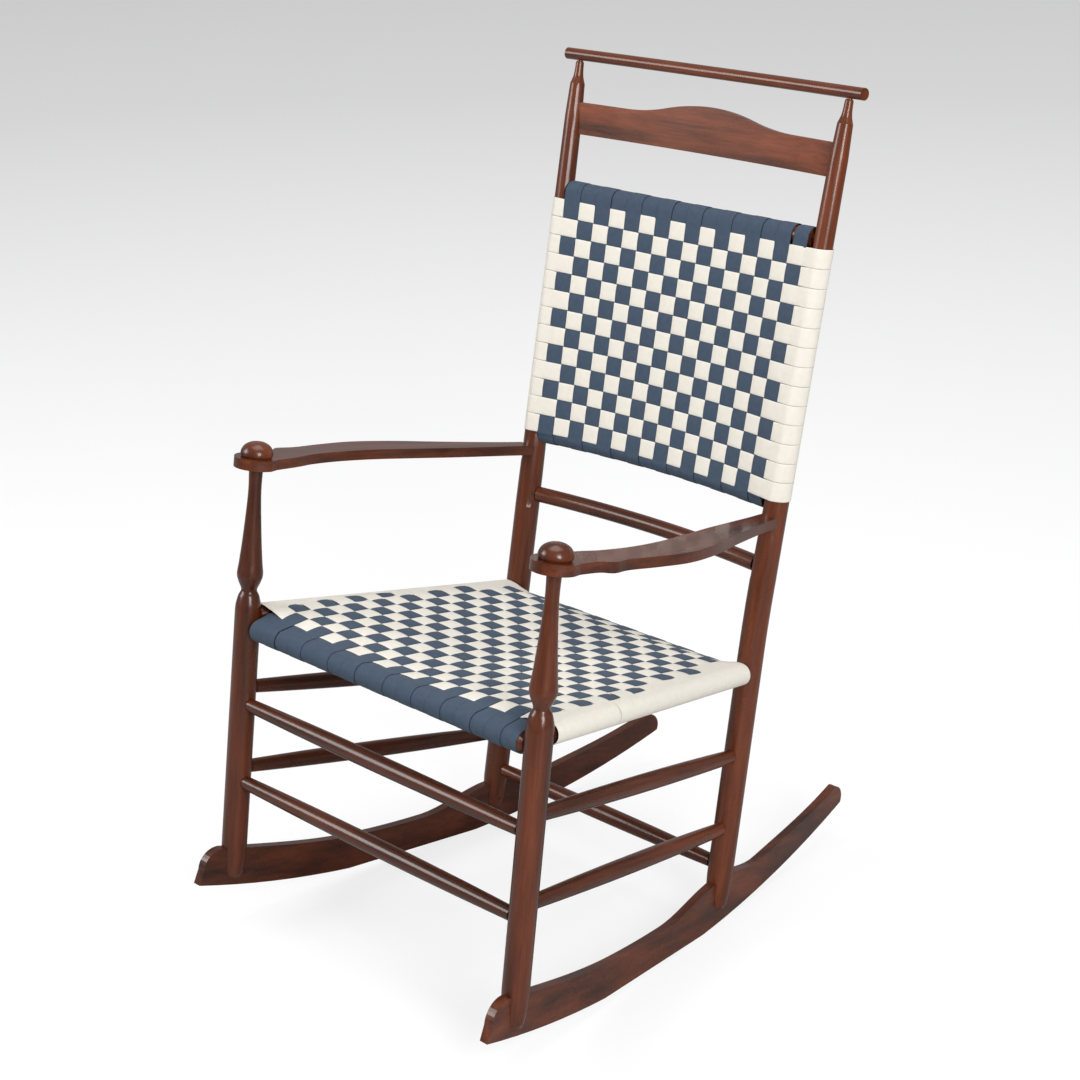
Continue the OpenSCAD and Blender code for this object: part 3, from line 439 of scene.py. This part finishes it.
def side_x(y):
    return FRONT_SPAN / 2 + (REAR_X - FRONT_SPAN / 2) * y / REAR_Y


def side_z(y):
    return SEAT_H - SEAT_FALL * y / REAR_Y


def row_edge(q, t):
    """Y of the edge in front of row q, where t goes from 0 in the middle to 1 at the sides."""
    return ROWS_MIDDLE[q] + (ROWS_SIDE[q] - ROWS_MIDDLE[q]) * np.minimum(t, 1) ** 2


def row_phase(y, t):
    """Row number at a place, whole at the middle of each row."""
    y, t = np.broadcast_arrays(np.asarray(y, float), np.asarray(t, float))
    out = np.empty(y.shape)
    for k in np.ndindex(y.shape):
        out[k] = np.interp(y[k], row_edge(slice(None), t[k]), np.arange(ROWS + 1))
    return out - 0.5


def tangent(yc, zc, yp, zp, sign):
    """Angle at which a straight run from (yp, zp) meets the upper side of a roll."""
    d = math.hypot(yp - yc, zp - zc)
    return math.atan2(zp - zc, yp - yc) + sign * math.acos(ROLL_R / d)


def middle_profile():
    """Height of the seat's upper layer along its middle, over both rolls."""
    front_a = tangent(0, FRONT_RUNG_Z, *MIDDLE[0], 1)
    rear_a = tangent(REAR_Y, REAR_RUNG_Z, *MIDDLE[-1], -1)
    a = (ROLL_R * math.cos(front_a), FRONT_RUNG_Z + ROLL_R * math.sin(front_a))
    d = (REAR_Y + ROLL_R * math.cos(rear_a), REAR_RUNG_Z + ROLL_R * math.sin(rear_a))
    ys, zs = np.array([a, *MIDDLE, d]).T
    y = np.arange(-ROLL_R, REAR_Y + ROLL_R, 0.5)
    z = np.interp(y, ys, zs)
    front, rear = y < a[0], y > d[0]
    z[front] = FRONT_RUNG_Z + np.sqrt(np.maximum(ROLL_R**2 - y[front] ** 2, 0))
    z[rear] = REAR_RUNG_Z + np.sqrt(np.maximum(ROLL_R**2 - (y[rear] - REAR_Y) ** 2, 0))
    kernel = np.hanning(41)
    soft = np.convolve(np.pad(z, 20, mode="edge"), kernel / kernel.sum(), "valid")
    keep = smooth((y - 4) / 10) * smooth((REAR_Y - 4 - y) / 10)
    return y, z * (1 - keep) + soft * keep


TOP_Y, TOP_Z = middle_profile()


def side_share(x, y):
    """0 in the middle of the seat and 1 over the side rungs."""
    return np.minimum(np.abs(x) / side_x(y), 1)


def at_side(t):
    """0 on the seat, turning to 1 towards the side rungs."""
    return smooth((t - 0.8) / 0.2)


def dish(t):
    """Share of the rise from the seat's middle, where it is round, to its sides."""
    s = (np.sqrt(t * t + 0.004) - 0.0632) / 0.9388
    return s * (0.6 + 0.75 * s - 0.35 * s * s)


def dished(x, y):
    """Middle of the upper layer where it is clear of the front and rear rolls."""
    z = np.interp(y, TOP_Y, TOP_Z)
    return z + (side_z(y) + ROLL_R - z) * dish(side_share(x, y))


def leave(roll, x):
    """For each x, the height at which the straight run down to a roll begins, the angle
    at which it meets the roll, and its slope."""
    yc, zc, y, sign, _ = roll
    z = dished(x, y)
    dy, dz = y - yc, z - zc
    angle = np.arctan2(dz, dy) + sign * np.arccos(ROLL_R / np.hypot(dy, dz))
    return z, angle, -np.cos(angle) / np.sin(angle)


def seat_top(x, y):
    x, y = np.broadcast_arrays(np.asarray(x, float), np.asarray(y, float))
    z = dished(x, np.clip(y, JOIN, REAR_Y - JOIN))
    z0, _, s0 = leave(FRONT_ROLL, x)
    z1, _, s1 = leave(REAR_ROLL, x)
    z = np.where(y < JOIN, z0 + s0 * (y - JOIN), z)
    return np.where(y > REAR_Y - JOIN, z1 + s1 * (y - REAR_Y + JOIN), z)


def weft_top(x, y):
    """The same surface, which reaches the side rolls all the way to the posts."""
    z = seat_top(x, y)
    return z + (side_z(y) + ROLL_R - z) * at_side(side_share(x, y))


def seat_low(x, y):
    t = side_share(x, y)
    z = np.interp(y, [0, REAR_Y], [FRONT_RUNG_Z - ROLL_R, REAR_RUNG_Z - ROLL_R])
    clear = smooth((y - 1) / 32) * smooth((REAR_Y - 1 - y) / 36)
    return z + (side_z(y) - ROLL_R - z) * t**3 * np.maximum(clear, at_side(t))


def seat_points(surface, x, y):
    return np.stack([x, y, surface(x, y)], -1)


def seat_normals(surface, x, y, sign):
    e = 0.6
    sx = (surface(x + e, y) - surface(x - e, y)) / (2 * e)
    sy = (surface(x, y + e) - surface(x, y - e)) / (2 * e)
    return sign * np.stack([-sx, -sy, np.ones_like(sx)], -1)


ROWS_LENGTH = ROWS_MIDDLE[-1] - ROWS_MIDDLE[0]


def low_y(y):
    """Y of a place on the lower layer, whose rows keep clear of the front and rear rungs."""
    return LOW_CLEAR + (y - ROWS_MIDDLE[0]) * (REAR_Y - 2 * LOW_CLEAR) / ROWS_LENGTH


def upper_y(y):
    """Y on the upper layer of the row that is at y on the lower one."""
    return (y - LOW_CLEAR) / (REAR_Y - 2 * LOW_CLEAR) * ROWS_LENGTH + ROWS_MIDDLE[0]


def column_x(i):
    return (i - (COLUMNS - 1) / 2) * TAPE_W


def over_warp(i, j):
    """Plus one where blue column i passes over cream row j, both counted from 0."""
    return -1.0 if (i + j) % 2 == 0 else 1.0


def warp_limit(y):
    """Half width that the blue tapes fill at a distance from the front."""
    y = np.clip(y, 0, REAR_Y)
    return side_x(y) - 5.5 - 8 * smooth((60 - y) / 60) - 9 * smooth((y - 370) / 50)


def filled(y):
    """Half width in which the cream tapes cross blue ones."""
    last = (COLUMNS / 2 - (y > SHORT_END[0]) - (y > SHORT_END[1])) * TAPE_W
    return np.minimum(warp_limit(y), last)


def roll_edges(i, over, gaps):
    """How far a tape's two edges lie beyond its place on a roll. A tape that comes from
    above the weave laps over the next one on its left and leaves a slit on its right."""
    if over > 0:
        return np.array([1.0, -gaps[i + 1] / 2])
    return np.array([-gaps[i] / 2, 0.1])


def seat_warp():
    cloth = Cloth()
    gaps = {end: rng.uniform(-0.2, 0.5, COLUMNS + 2) for end in ("front", "rear")}
    gaps["front"][2] = 1.2
    for i in range(COLUMNS):
        x = column_x(i)
        first, last = over_warp(i, 0), over_warp(i, ROWS - 1)
        front, rear = roll_edges(i, first, gaps["front"]), roll_edges(i, last, gaps["rear"])
        outer = min(i, COLUMNS - 1 - i)
        short = outer < len(SHORT_END)
        base, nor, high = [], [], []

        def edges(y, to_front, to_rear):
            grow = front * to_front + rear * to_rear - 0.2 * (1 - to_front - to_rear)
            limit = warp_limit(y)
            a = max(x - TAPE_W / 2 - grow[0], -limit)
            b = min(x + TAPE_W / 2 + grow[1], limit)
            if b - a < NARROWEST:
                a, b = (a, a + NARROWEST) if x < 0 else (b - NARROWEST, b)
            return spread(a, b)

        def woven(y, end_h, to_front, to_rear, sign):
            """Station in the upper layer, sign 1, or in the lower one, sign -1."""
            xs = edges(y, to_front, to_rear)
            ys = np.full_like(xs, y)
            surface, row_y = (seat_top, y) if sign > 0 else (seat_low, upper_y(y))
            phase = row_phase(row_y, np.abs(xs) / side_x(y))
            h = sign * SEAT_A * arch(phase) * first
            base.append(seat_points(surface, xs, ys))
            nor.append(seat_normals(surface, xs, ys, sign))
            high.append(h * (1 - to_front - to_rear) + end_h * (to_front + to_rear))

        def rolled(roll, share, h, to_front, to_rear):
            """Station on a roll, where share goes from 0 above to 1 below."""
            yc, zc, _, _, foot = roll
            xs = edges(yc, to_front, to_rear)
            start = leave(roll, xs)[1]
            a = start + (foot - start) * share
            n = np.stack([np.zeros_like(a), np.cos(a), np.sin(a)], -1)
            base.append(np.stack([xs, yc + ROLL_R * n[:, 1], zc + ROLL_R * n[:, 2]], -1))
            nor.append(n)
            high.append(np.full_like(xs, h))

        front_h, rear_h = (SEAT_LIFT[0 if over > 0 else 1] for over in (first, last))
        stop = SHORT_END[outer] if short else REAR_Y - 1
        for y in np.linspace(4.5, stop, int(stop / 2.7)):
            near = float(smooth((ROWS_MIDDLE[0] + 4 - y) / 9))
            far = float(smooth((y - ROWS_MIDDLE[-1] + 3) / 6))
            woven(y, front_h if near > 0 else rear_h, near, far, 1)
        if not short:
            for share in np.linspace(0, 1, 26):
                rolled(REAR_ROLL, share, rear_h, 0, 1)
        start = SHORT_END[outer] if short else REAR_Y - 2
        for y in np.linspace(start, 2, int(start / 3.4)):
            near = float(smooth((LOW_CLEAR - y) / 9))
            far = float(smooth((y - REAR_Y + LOW_CLEAR) / 9))
            woven(y, 0.1, near, far, -1)
        for share in np.linspace(1, 0, 34):
            rolled(FRONT_ROLL, share, front_h * float(smooth((1 - share) / 0.3)), 1, 0)
        cloth.add(base, nor, np.array(high))
    return cloth


def seat_weft():
    cloth = Cloth()
    slant = math.atan2(FRONT_SPAN / 2 - REAR_X, REAR_Y)
    s = np.linspace(-1, 1, 190)
    t = np.abs(s)
    for j in range(ROWS):
        # The rows stand a little apart where blue tapes pass between them
        beyond = t * side_x(row_edge(j, t)) - filled(row_edge(j, t) + 12)
        slit = 0.1 - 0.35 * np.maximum(smooth((t - 0.88) / 0.1), smooth((beyond + 2) / 4))
        y_top = spread(row_edge(j, t) + slit, row_edge(j + 1, t) - slit)
        base, nor, high = [], [], []

        def layer(surface, y, s, sign):
            x = s[:, None] * side_x(y)
            phase = (x - column_x(0)) / TAPE_W
            inside = smooth((filled(y) + 3 - np.abs(x)) / 7)
            edge = smooth((np.abs(s[:, None]) - 0.86) / 0.08)
            base.append(seat_points(surface, x, y))
            nor.append(seat_normals(surface, x, y, sign))
            high.append(-sign * SEAT_A * arch(phase) * over_warp(0, j) * inside + FLUSH * edge)

        def round_side(side, angles):
            seam = [0.65 * (side > 0 and q == OPEN_SEAM) for q in (j, j + 1)]
            y = spread(row_edge(j, 1.0) - 0.25 + seam[0], row_edge(j + 1, 1.0) + 0.25 - seam[1])
            centre = np.stack([side * side_x(y), y, side_z(y)], -1)
            for a in np.radians(angles):
                c = math.cos(a)
                out = np.array([side * c * math.cos(slant), c * math.sin(slant), math.sin(a)])
                base.append((centre + out * ROLL_R)[None])
                nor.append(np.tile(out, (1, len(y), 1)))
                high.append(FLUSH[None])

        layer(weft_top, y_top, s, 1)
        round_side(1, np.linspace(90, -90, 24)[1:-1])
        y_back, at_end = y_top[::-1], t[::-1, None] ** 6
        layer(seat_low, low_y(y_back) * (1 - at_end) + y_back * at_end, s[::-1], -1)
        round_side(-1, np.linspace(-90, 90, 24)[1:-1])
        cloth.add(np.concatenate(base), np.concatenate(nor), np.concatenate(high))
    return cloth


# Back

B_COLUMNS, B_ROWS = 16, 13
WEFT_LOW, WEFT_HIGH = BACK_LOW_H + 2, BACK_HIGH_H - 10
B_PITCH = (WEFT_HIGH - WEFT_LOW) / B_ROWS
B_CENTRE = (BACK_LOW_H + BACK_HIGH_H) / 2
B_HALF = (BACK_HIGH_H - BACK_LOW_H) / 2
BACK_A = 0.75
BACK_LIFT = (0.45, -0.05)
# Width of a blue tape at the upper rung, and half widths of the weave at both rungs
HIGH_PITCH = 25.4
WEAVE_LOW_X, WEAVE_HIGH_X = 195.0, 206.8
LOW_PITCH = 2 * WEAVE_LOW_X / B_COLUMNS
# How much of FLUSH the wraps round the posts get
POST_FLUSH = 0.7


def rung_share(z):
    """0 at the lower rung and 1 at the upper one."""
    return (z - BACK_LOW_H) / (BACK_HIGH_H - BACK_LOW_H)


def bow(x, z):
    return np.maximum(1 - (x / rear_axis(z)[0]) ** 2, 0)


def back_mid(x, z):
    """Middle surface of the bowed back."""
    low_y, high_y = rear_axis(BACK_LOW_H)[1], rear_axis(BACK_HIGH_H)[1]
    return low_y + (high_y - low_y) * rung_share(z) + TAPE_BOW * bow(x, z)


def drawn_in(x, z):
    """Height of a place on the back, whose rungs are drawn together in the middle."""
    return B_CENTRE + (z - B_CENTRE) * (1 - TAPE_PULL / B_HALF * bow(x, z))


def back_over_warp(i, j):
    """Plus one where blue column i passes over cream row j, rows counted from the top."""
    return 1.0 if (i + j) % 2 == 0 else -1.0


def wrap_r(z):
    """Radius of the cream tape round a rear post."""
    return np.maximum(post_r(z) + 0.75, ROLL_R)


def back_off(x, z):
    """Distance of either layer's middle from the back's middle surface."""
    near = smooth((np.abs(x) - rear_axis(z)[0] + 60) / 50)
    return ROLL_R + (wrap_r(z) - ROLL_R) * near


def back_points(x, z, face):
    """Points of a layer and its normals, where z is the height before drawn_in."""
    zz = drawn_in(x, z)
    e = 0.8
    slope = (back_mid(x + e, zz) - back_mid(x - e, zz)) / (2 * e)
    rise = (back_mid(x, zz + e) - back_mid(x, zz - e)) / (2 * e)
    base = np.stack([x, back_mid(x, zz) + face * back_off(x, zz), zz], -1)
    return base, face * np.stack([-slope, np.ones_like(slope), -rise], -1)


def back_warp():
    cloth = Cloth()
    low_x, high_x = (
        float(rear_axis(z)[0] - post_r(z)) - 0.6 for z in (BACK_LOW_H, BACK_HIGH_H)
    )
    low_b = np.linspace(-low_x, low_x, B_COLUMNS + 1)
    high_b = -high_x + HIGH_PITCH * np.arange(B_COLUMNS + 1)
    gaps = {end: rng.uniform(0.2, 0.9, B_COLUMNS + 2) for end in ("top", "low")}
    for i in range(B_COLUMNS):
        first, last = back_over_warp(i, 0), back_over_warp(i, B_ROWS - 1)
        top, foot = roll_edges(i, first, gaps["top"]), roll_edges(i, last, gaps["low"])
        top_h, foot_h = (BACK_LIFT[0 if over > 0 else 1] for over in (first, last))

        def edges(z):
            s = rung_share(z)
            up, down = smooth((z - WEFT_HIGH + 8) / 12), smooth((WEFT_LOW + 8 - z) / 12)
            slit = 0.2 * (1 - up - down)
            a = low_b[i] + (high_b[i] - low_b[i]) * s - top[0] * up - foot[0] * down + slit
            b = low_b[i + 1] + (high_b[i + 1] - low_b[i + 1]) * s
            b = b + top[1] * up + foot[1] * down - slit
            if i == B_COLUMNS - 1:
                # The last tape has slipped towards the post on the upper rung
                a, b = a + 4.0 * up, b + 3.0 * up
            return spread(np.maximum(a, -high_x), np.minimum(b, high_x))

        base, nor, high = [], [], []
        z = np.linspace(BACK_LOW_H, BACK_HIGH_H, 118)
        for face, z, zc, roll_h, angles in (
            (-1, z, BACK_HIGH_H, top_h, np.linspace(176, 4, 24)),
            (1, z[::-1], BACK_LOW_H, foot_h, np.linspace(-4, -176, 24)),
        ):
            zz = z[:, None] * np.ones(len(ACROSS))
            h = -face * BACK_A * arch((WEFT_HIGH - zz) / B_PITCH - 0.5) * first
            k = smooth((zz - WEFT_LOW) / 6) * smooth((WEFT_HIGH - zz) / 6)
            p, n = back_points(edges(z), zz, face)
            base.append(p)
            nor.append(n)
            high.append(h * k + np.where(zz > B_CENTRE, top_h, foot_h) * (1 - k))
            x = edges(np.array([zc]))[0]
            centre = np.stack([x, back_mid(x, zc), drawn_in(x, zc)], -1)
            for a in np.radians(angles):
                out = np.array([0, math.cos(a), math.sin(a)])
                base.append((centre + out * ROLL_R)[None])
                nor.append(np.tile(out, (1, len(x), 1)))
                high.append(np.full((1, len(x)), roll_h))
        cloth.add(np.concatenate(base), np.concatenate(nor), np.concatenate(high))
    return cloth


def back_weft():
    cloth = Cloth()
    for j in range(B_ROWS):
        z = WEFT_HIGH - (j + 0.5) * B_PITCH
        base, nor, high = [], [], []
        for face in (-1, 1):
            s = np.linspace(-1, 1, 160) * -face
            t = np.abs(s)
            half = B_PITCH / 2 - 0.45 + 0.33 * smooth((t - 0.9) / 0.08)
            zz = spread(z - half, z + half)
            px = rear_axis(zz)[0]
            x = s[:, None] * px
            share = rung_share(zz)
            left = -WEAVE_LOW_X + (WEAVE_LOW_X - WEAVE_HIGH_X) * share
            pitch = LOW_PITCH + (HIGH_PITCH - LOW_PITCH) * share
            inside = smooth((px - post_r(zz) + 1.5 - np.abs(x)) / 7)
            h = face * BACK_A * arch((x - left) / pitch - 0.5) * back_over_warp(0, j) * inside
            p, n = back_points(x, zz, face)
            base.append(p)
            nor.append(n)
            high.append(h + POST_FLUSH * FLUSH * smooth((t[:, None] - 0.92) / 0.06))

            # Half round about the post at the end of this layer
            side = -face
            half = B_PITCH / 2 - 0.12
            zz = spread(z - half, z + half)
            px = rear_axis(zz)[0]
            r = wrap_r(zz)
            for a in np.radians(np.linspace(-90, 90, 26)[1:-1] * side):
                c, q = math.cos(a), math.sin(a)
                p = np.stack([side * (px + r * c), back_mid(side * px, zz) + r * q, zz], -1)
                base.append(p[None])
                nor.append(np.tile(np.array([side * c, q, 0]), (1, len(ACROSS), 1)))
                high.append(POST_FLUSH * FLUSH[None])
        cloth.add(np.concatenate(base), np.concatenate(nor), np.concatenate(high))
    return cloth


for make, name, mat, slot, stands in (
    (seat_warp, "seat_blue_tape", BLUE, "tape_blue", "seat_warp"),
    (seat_weft, "seat_cream_tape", CREAM, "tape_cream", "seat_weft"),
    (back_warp, "back_blue_tape", BLUE, "tape_blue", "back_warp"),
    (back_weft, "back_cream_tape", CREAM, "tape_cream", "back_weft"),
):
    cloth = make()
    o = cloth.build(name, mat, slot, stands)


# Stuffing between the layers of tape


def stuffing(name, top, bottom, stands_for):
    """Closed pad between two grids of the same shape, in drawn millimetres."""
    a, b = rest(top), rest(bottom)
    n, m = a.shape[:2]
    verts = np.concatenate([a.reshape(-1, 3), b.reshape(-1, 3)]).tolist()
    s = n * m
    faces = []
    for i in range(n - 1):
        for k in range(m - 1):
            p = i * m + k
            faces.append((p, p + 1, p + m + 1, p + m))
            faces.append((s + p, s + p + m, s + p + m + 1, s + p + 1))
    rim = list(range(m)) + [i * m + m - 1 for i in range(1, n)]
    rim += [(n - 1) * m + k for k in range(m - 2, -1, -1)] + [i * m for i in range(n - 2, 0, -1)]
    for p, q in zip(rim, rim[1:] + rim[:1]):
        faces.append((p, s + p, s + q, q))
    mesh = bpy.data.meshes.new(name)
    mesh.from_pydata(verts, [], faces)
    mesh.materials.append(PAD_PAINTED_SHADE)
    mesh.update()
    o = add_object(name, mesh)
    dress(o, stands_for)


yy = np.repeat(np.linspace(32, REAR_Y - 32, 14)[:, None], 15, 1)
xx = np.linspace(-1, 1, 15)[None, :] * (side_x(yy) - 19)
stuffing(
    "seat_stuffing",
    np.stack([xx, yy, seat_top(xx, yy) - 3.0], -1),
    np.stack([xx, yy, side_z(yy) - 12.6], -1),
    "seat_pad",
)
zz = np.repeat(np.linspace(BACK_LOW_H + 24, BACK_HIGH_H - 24, 12)[:, None], 17, 1)
us = np.linspace(-1, 1, 17)[None, :]
xx = us * (rear_axis(zz)[0] - post_r(zz) - 3)
yy, edge = back_mid(xx, zz), np.abs(us) ** 8
stuffing(
    "back_stuffing",
    np.stack([xx, yy + 11 - 3 * edge, zz], -1),
    np.stack([xx, yy - 11 + 3 * edge, zz], -1),
    "back_pad",
)


# Floor and light

FLOOR_HALF = 30
# Distance over which the floor fades, and how bright it is at shares of it
FADE_REACH = 24
FADE = [(0.0, 1.0), (0.06, 0.99), (0.12, 0.92), (0.25, 0.74), (0.6, 0.56), (1.0, 0.53)]


def floor_material():
    """Pale floor that fades to grey far away. It keeps the chair's shadow, and the chair
    itself sees it darker than the camera does."""
    m, bsdf, new, link = material("floor_white")
    path = new("ShaderNodeLightPath")
    tone = mixer(new, A=(0.42, 0.42, 0.42, 1), B=(0.9, 0.9, 0.9, 1))
    link(path.outputs["Is Camera Ray"], tone.inputs["Factor"])
    link(tone.outputs["Result"], bsdf.inputs["Base Color"])
    put(bsdf, Roughness=0.9, Specular_IOR_Level=0.0)
    where = new("ShaderNodeTexCoord")
    reach = new("ShaderNodeVectorMath")
    reach.operation = "LENGTH"
    link(where.outputs["Object"], reach.inputs[0])
    near = put(new("ShaderNodeMapRange"), From_Max=FADE_REACH)
    link(reach.outputs["Value"], near.inputs["Value"])
    fade = ramp(new, *((place, (grey,) * 3) for place, grey in FADE))
    link(near.outputs["Result"], fade.inputs["Fac"])
    glow = put(new("ShaderNodeEmission"), Strength=1.0)
    link(fade.outputs["Color"], glow.inputs["Color"])
    share = new("ShaderNodeMath")
    share.operation = "MULTIPLY"
    share.inputs[1].default_value = 0.75
    link(path.outputs["Is Camera Ray"], share.inputs[0])
    mix = new("ShaderNodeMixShader")
    link(share.outputs["Value"], mix.inputs["Fac"])
    link(bsdf.outputs["BSDF"], mix.inputs[1])
    link(glow.outputs["Emission"], mix.inputs[2])
    link(mix.outputs["Shader"], m.node_tree.nodes["Material Output"].inputs["Surface"])
    return m


mesh = bpy.data.meshes.new("floor")
corners = [(-1, -1), (1, -1), (1, 1), (-1, 1)]
mesh.from_pydata([(x * FLOOR_HALF, y * FLOOR_HALF, 0) for x, y in corners], [], [(0, 1, 2, 3)])
mesh.materials.append(floor_material())
add_object("floor", mesh)

world = bpy.data.worlds.new("studio")
world.use_nodes = True
bpy.context.scene.world = world
tree = world.node_tree
sky = mixer(tree.nodes.new, A=(0.40, 0.40, 0.41, 1), B=(0.6, 0.6, 0.6, 1))
seen = tree.nodes.new("ShaderNodeLightPath")
back = put(tree.nodes["Background"], Strength=1.0)
tree.links.new(seen.outputs["Is Camera Ray"], sky.inputs["Factor"])
tree.links.new(sky.outputs["Result"], back.inputs["Color"])

for name, where, target, width, height, power in (
    ("key", (-2.5, -2.6, 2.2), (0, 0, 0.6), 1.8, 1.6, 85),
    ("side", (3.2, -1.4, 2.0), (0, 0, 0.5), 1.2, 2.0, 135),
    ("top", (0, 0.2, 3.6), (0, 0, 0), 2.6, 2.6, 70),
):
    lamp = bpy.data.lights.new(name, "AREA")
    lamp.shape = "RECTANGLE"
    lamp.size, lamp.size_y = width, height
    lamp.energy = power
    o = add_object(name, lamp)
    o.location = where
    o.rotation_euler = (Vector(target) - Vector(where)).to_track_quat("-Z", "Y").to_euler()

# Camera, placed where the photo was taken from: its place and axes in the upright
# drawing, and its focal length in pixels of the 1080 pixel wide picture
EYE = (1923.736, -1796.141, 1247.604)
RIGHT = (0.709615, 0.699153, 0.087357)
UP = (-0.239362, 0.1226, 0.963159)
AHEAD = (-0.662685, 0.704382, -0.254349)
FOCAL, PICTURE, SENSOR = 2319.25, 1080, 36

lens = bpy.data.cameras.new("camera")
lens.sensor_width = SENSOR
lens.lens = FOCAL / PICTURE * SENSOR
lens.clip_end = 100
camera = add_object("camera", lens)
axes = Matrix((turn(RIGHT), turn(UP), -turn(AHEAD))).transposed().to_4x4()
camera.matrix_world = Matrix.Translation(Vector(rest([EYE])[0])) @ axes
bpy.context.scene.camera = camera
bpy.context.scene.view_settings.view_transform = "Standard"
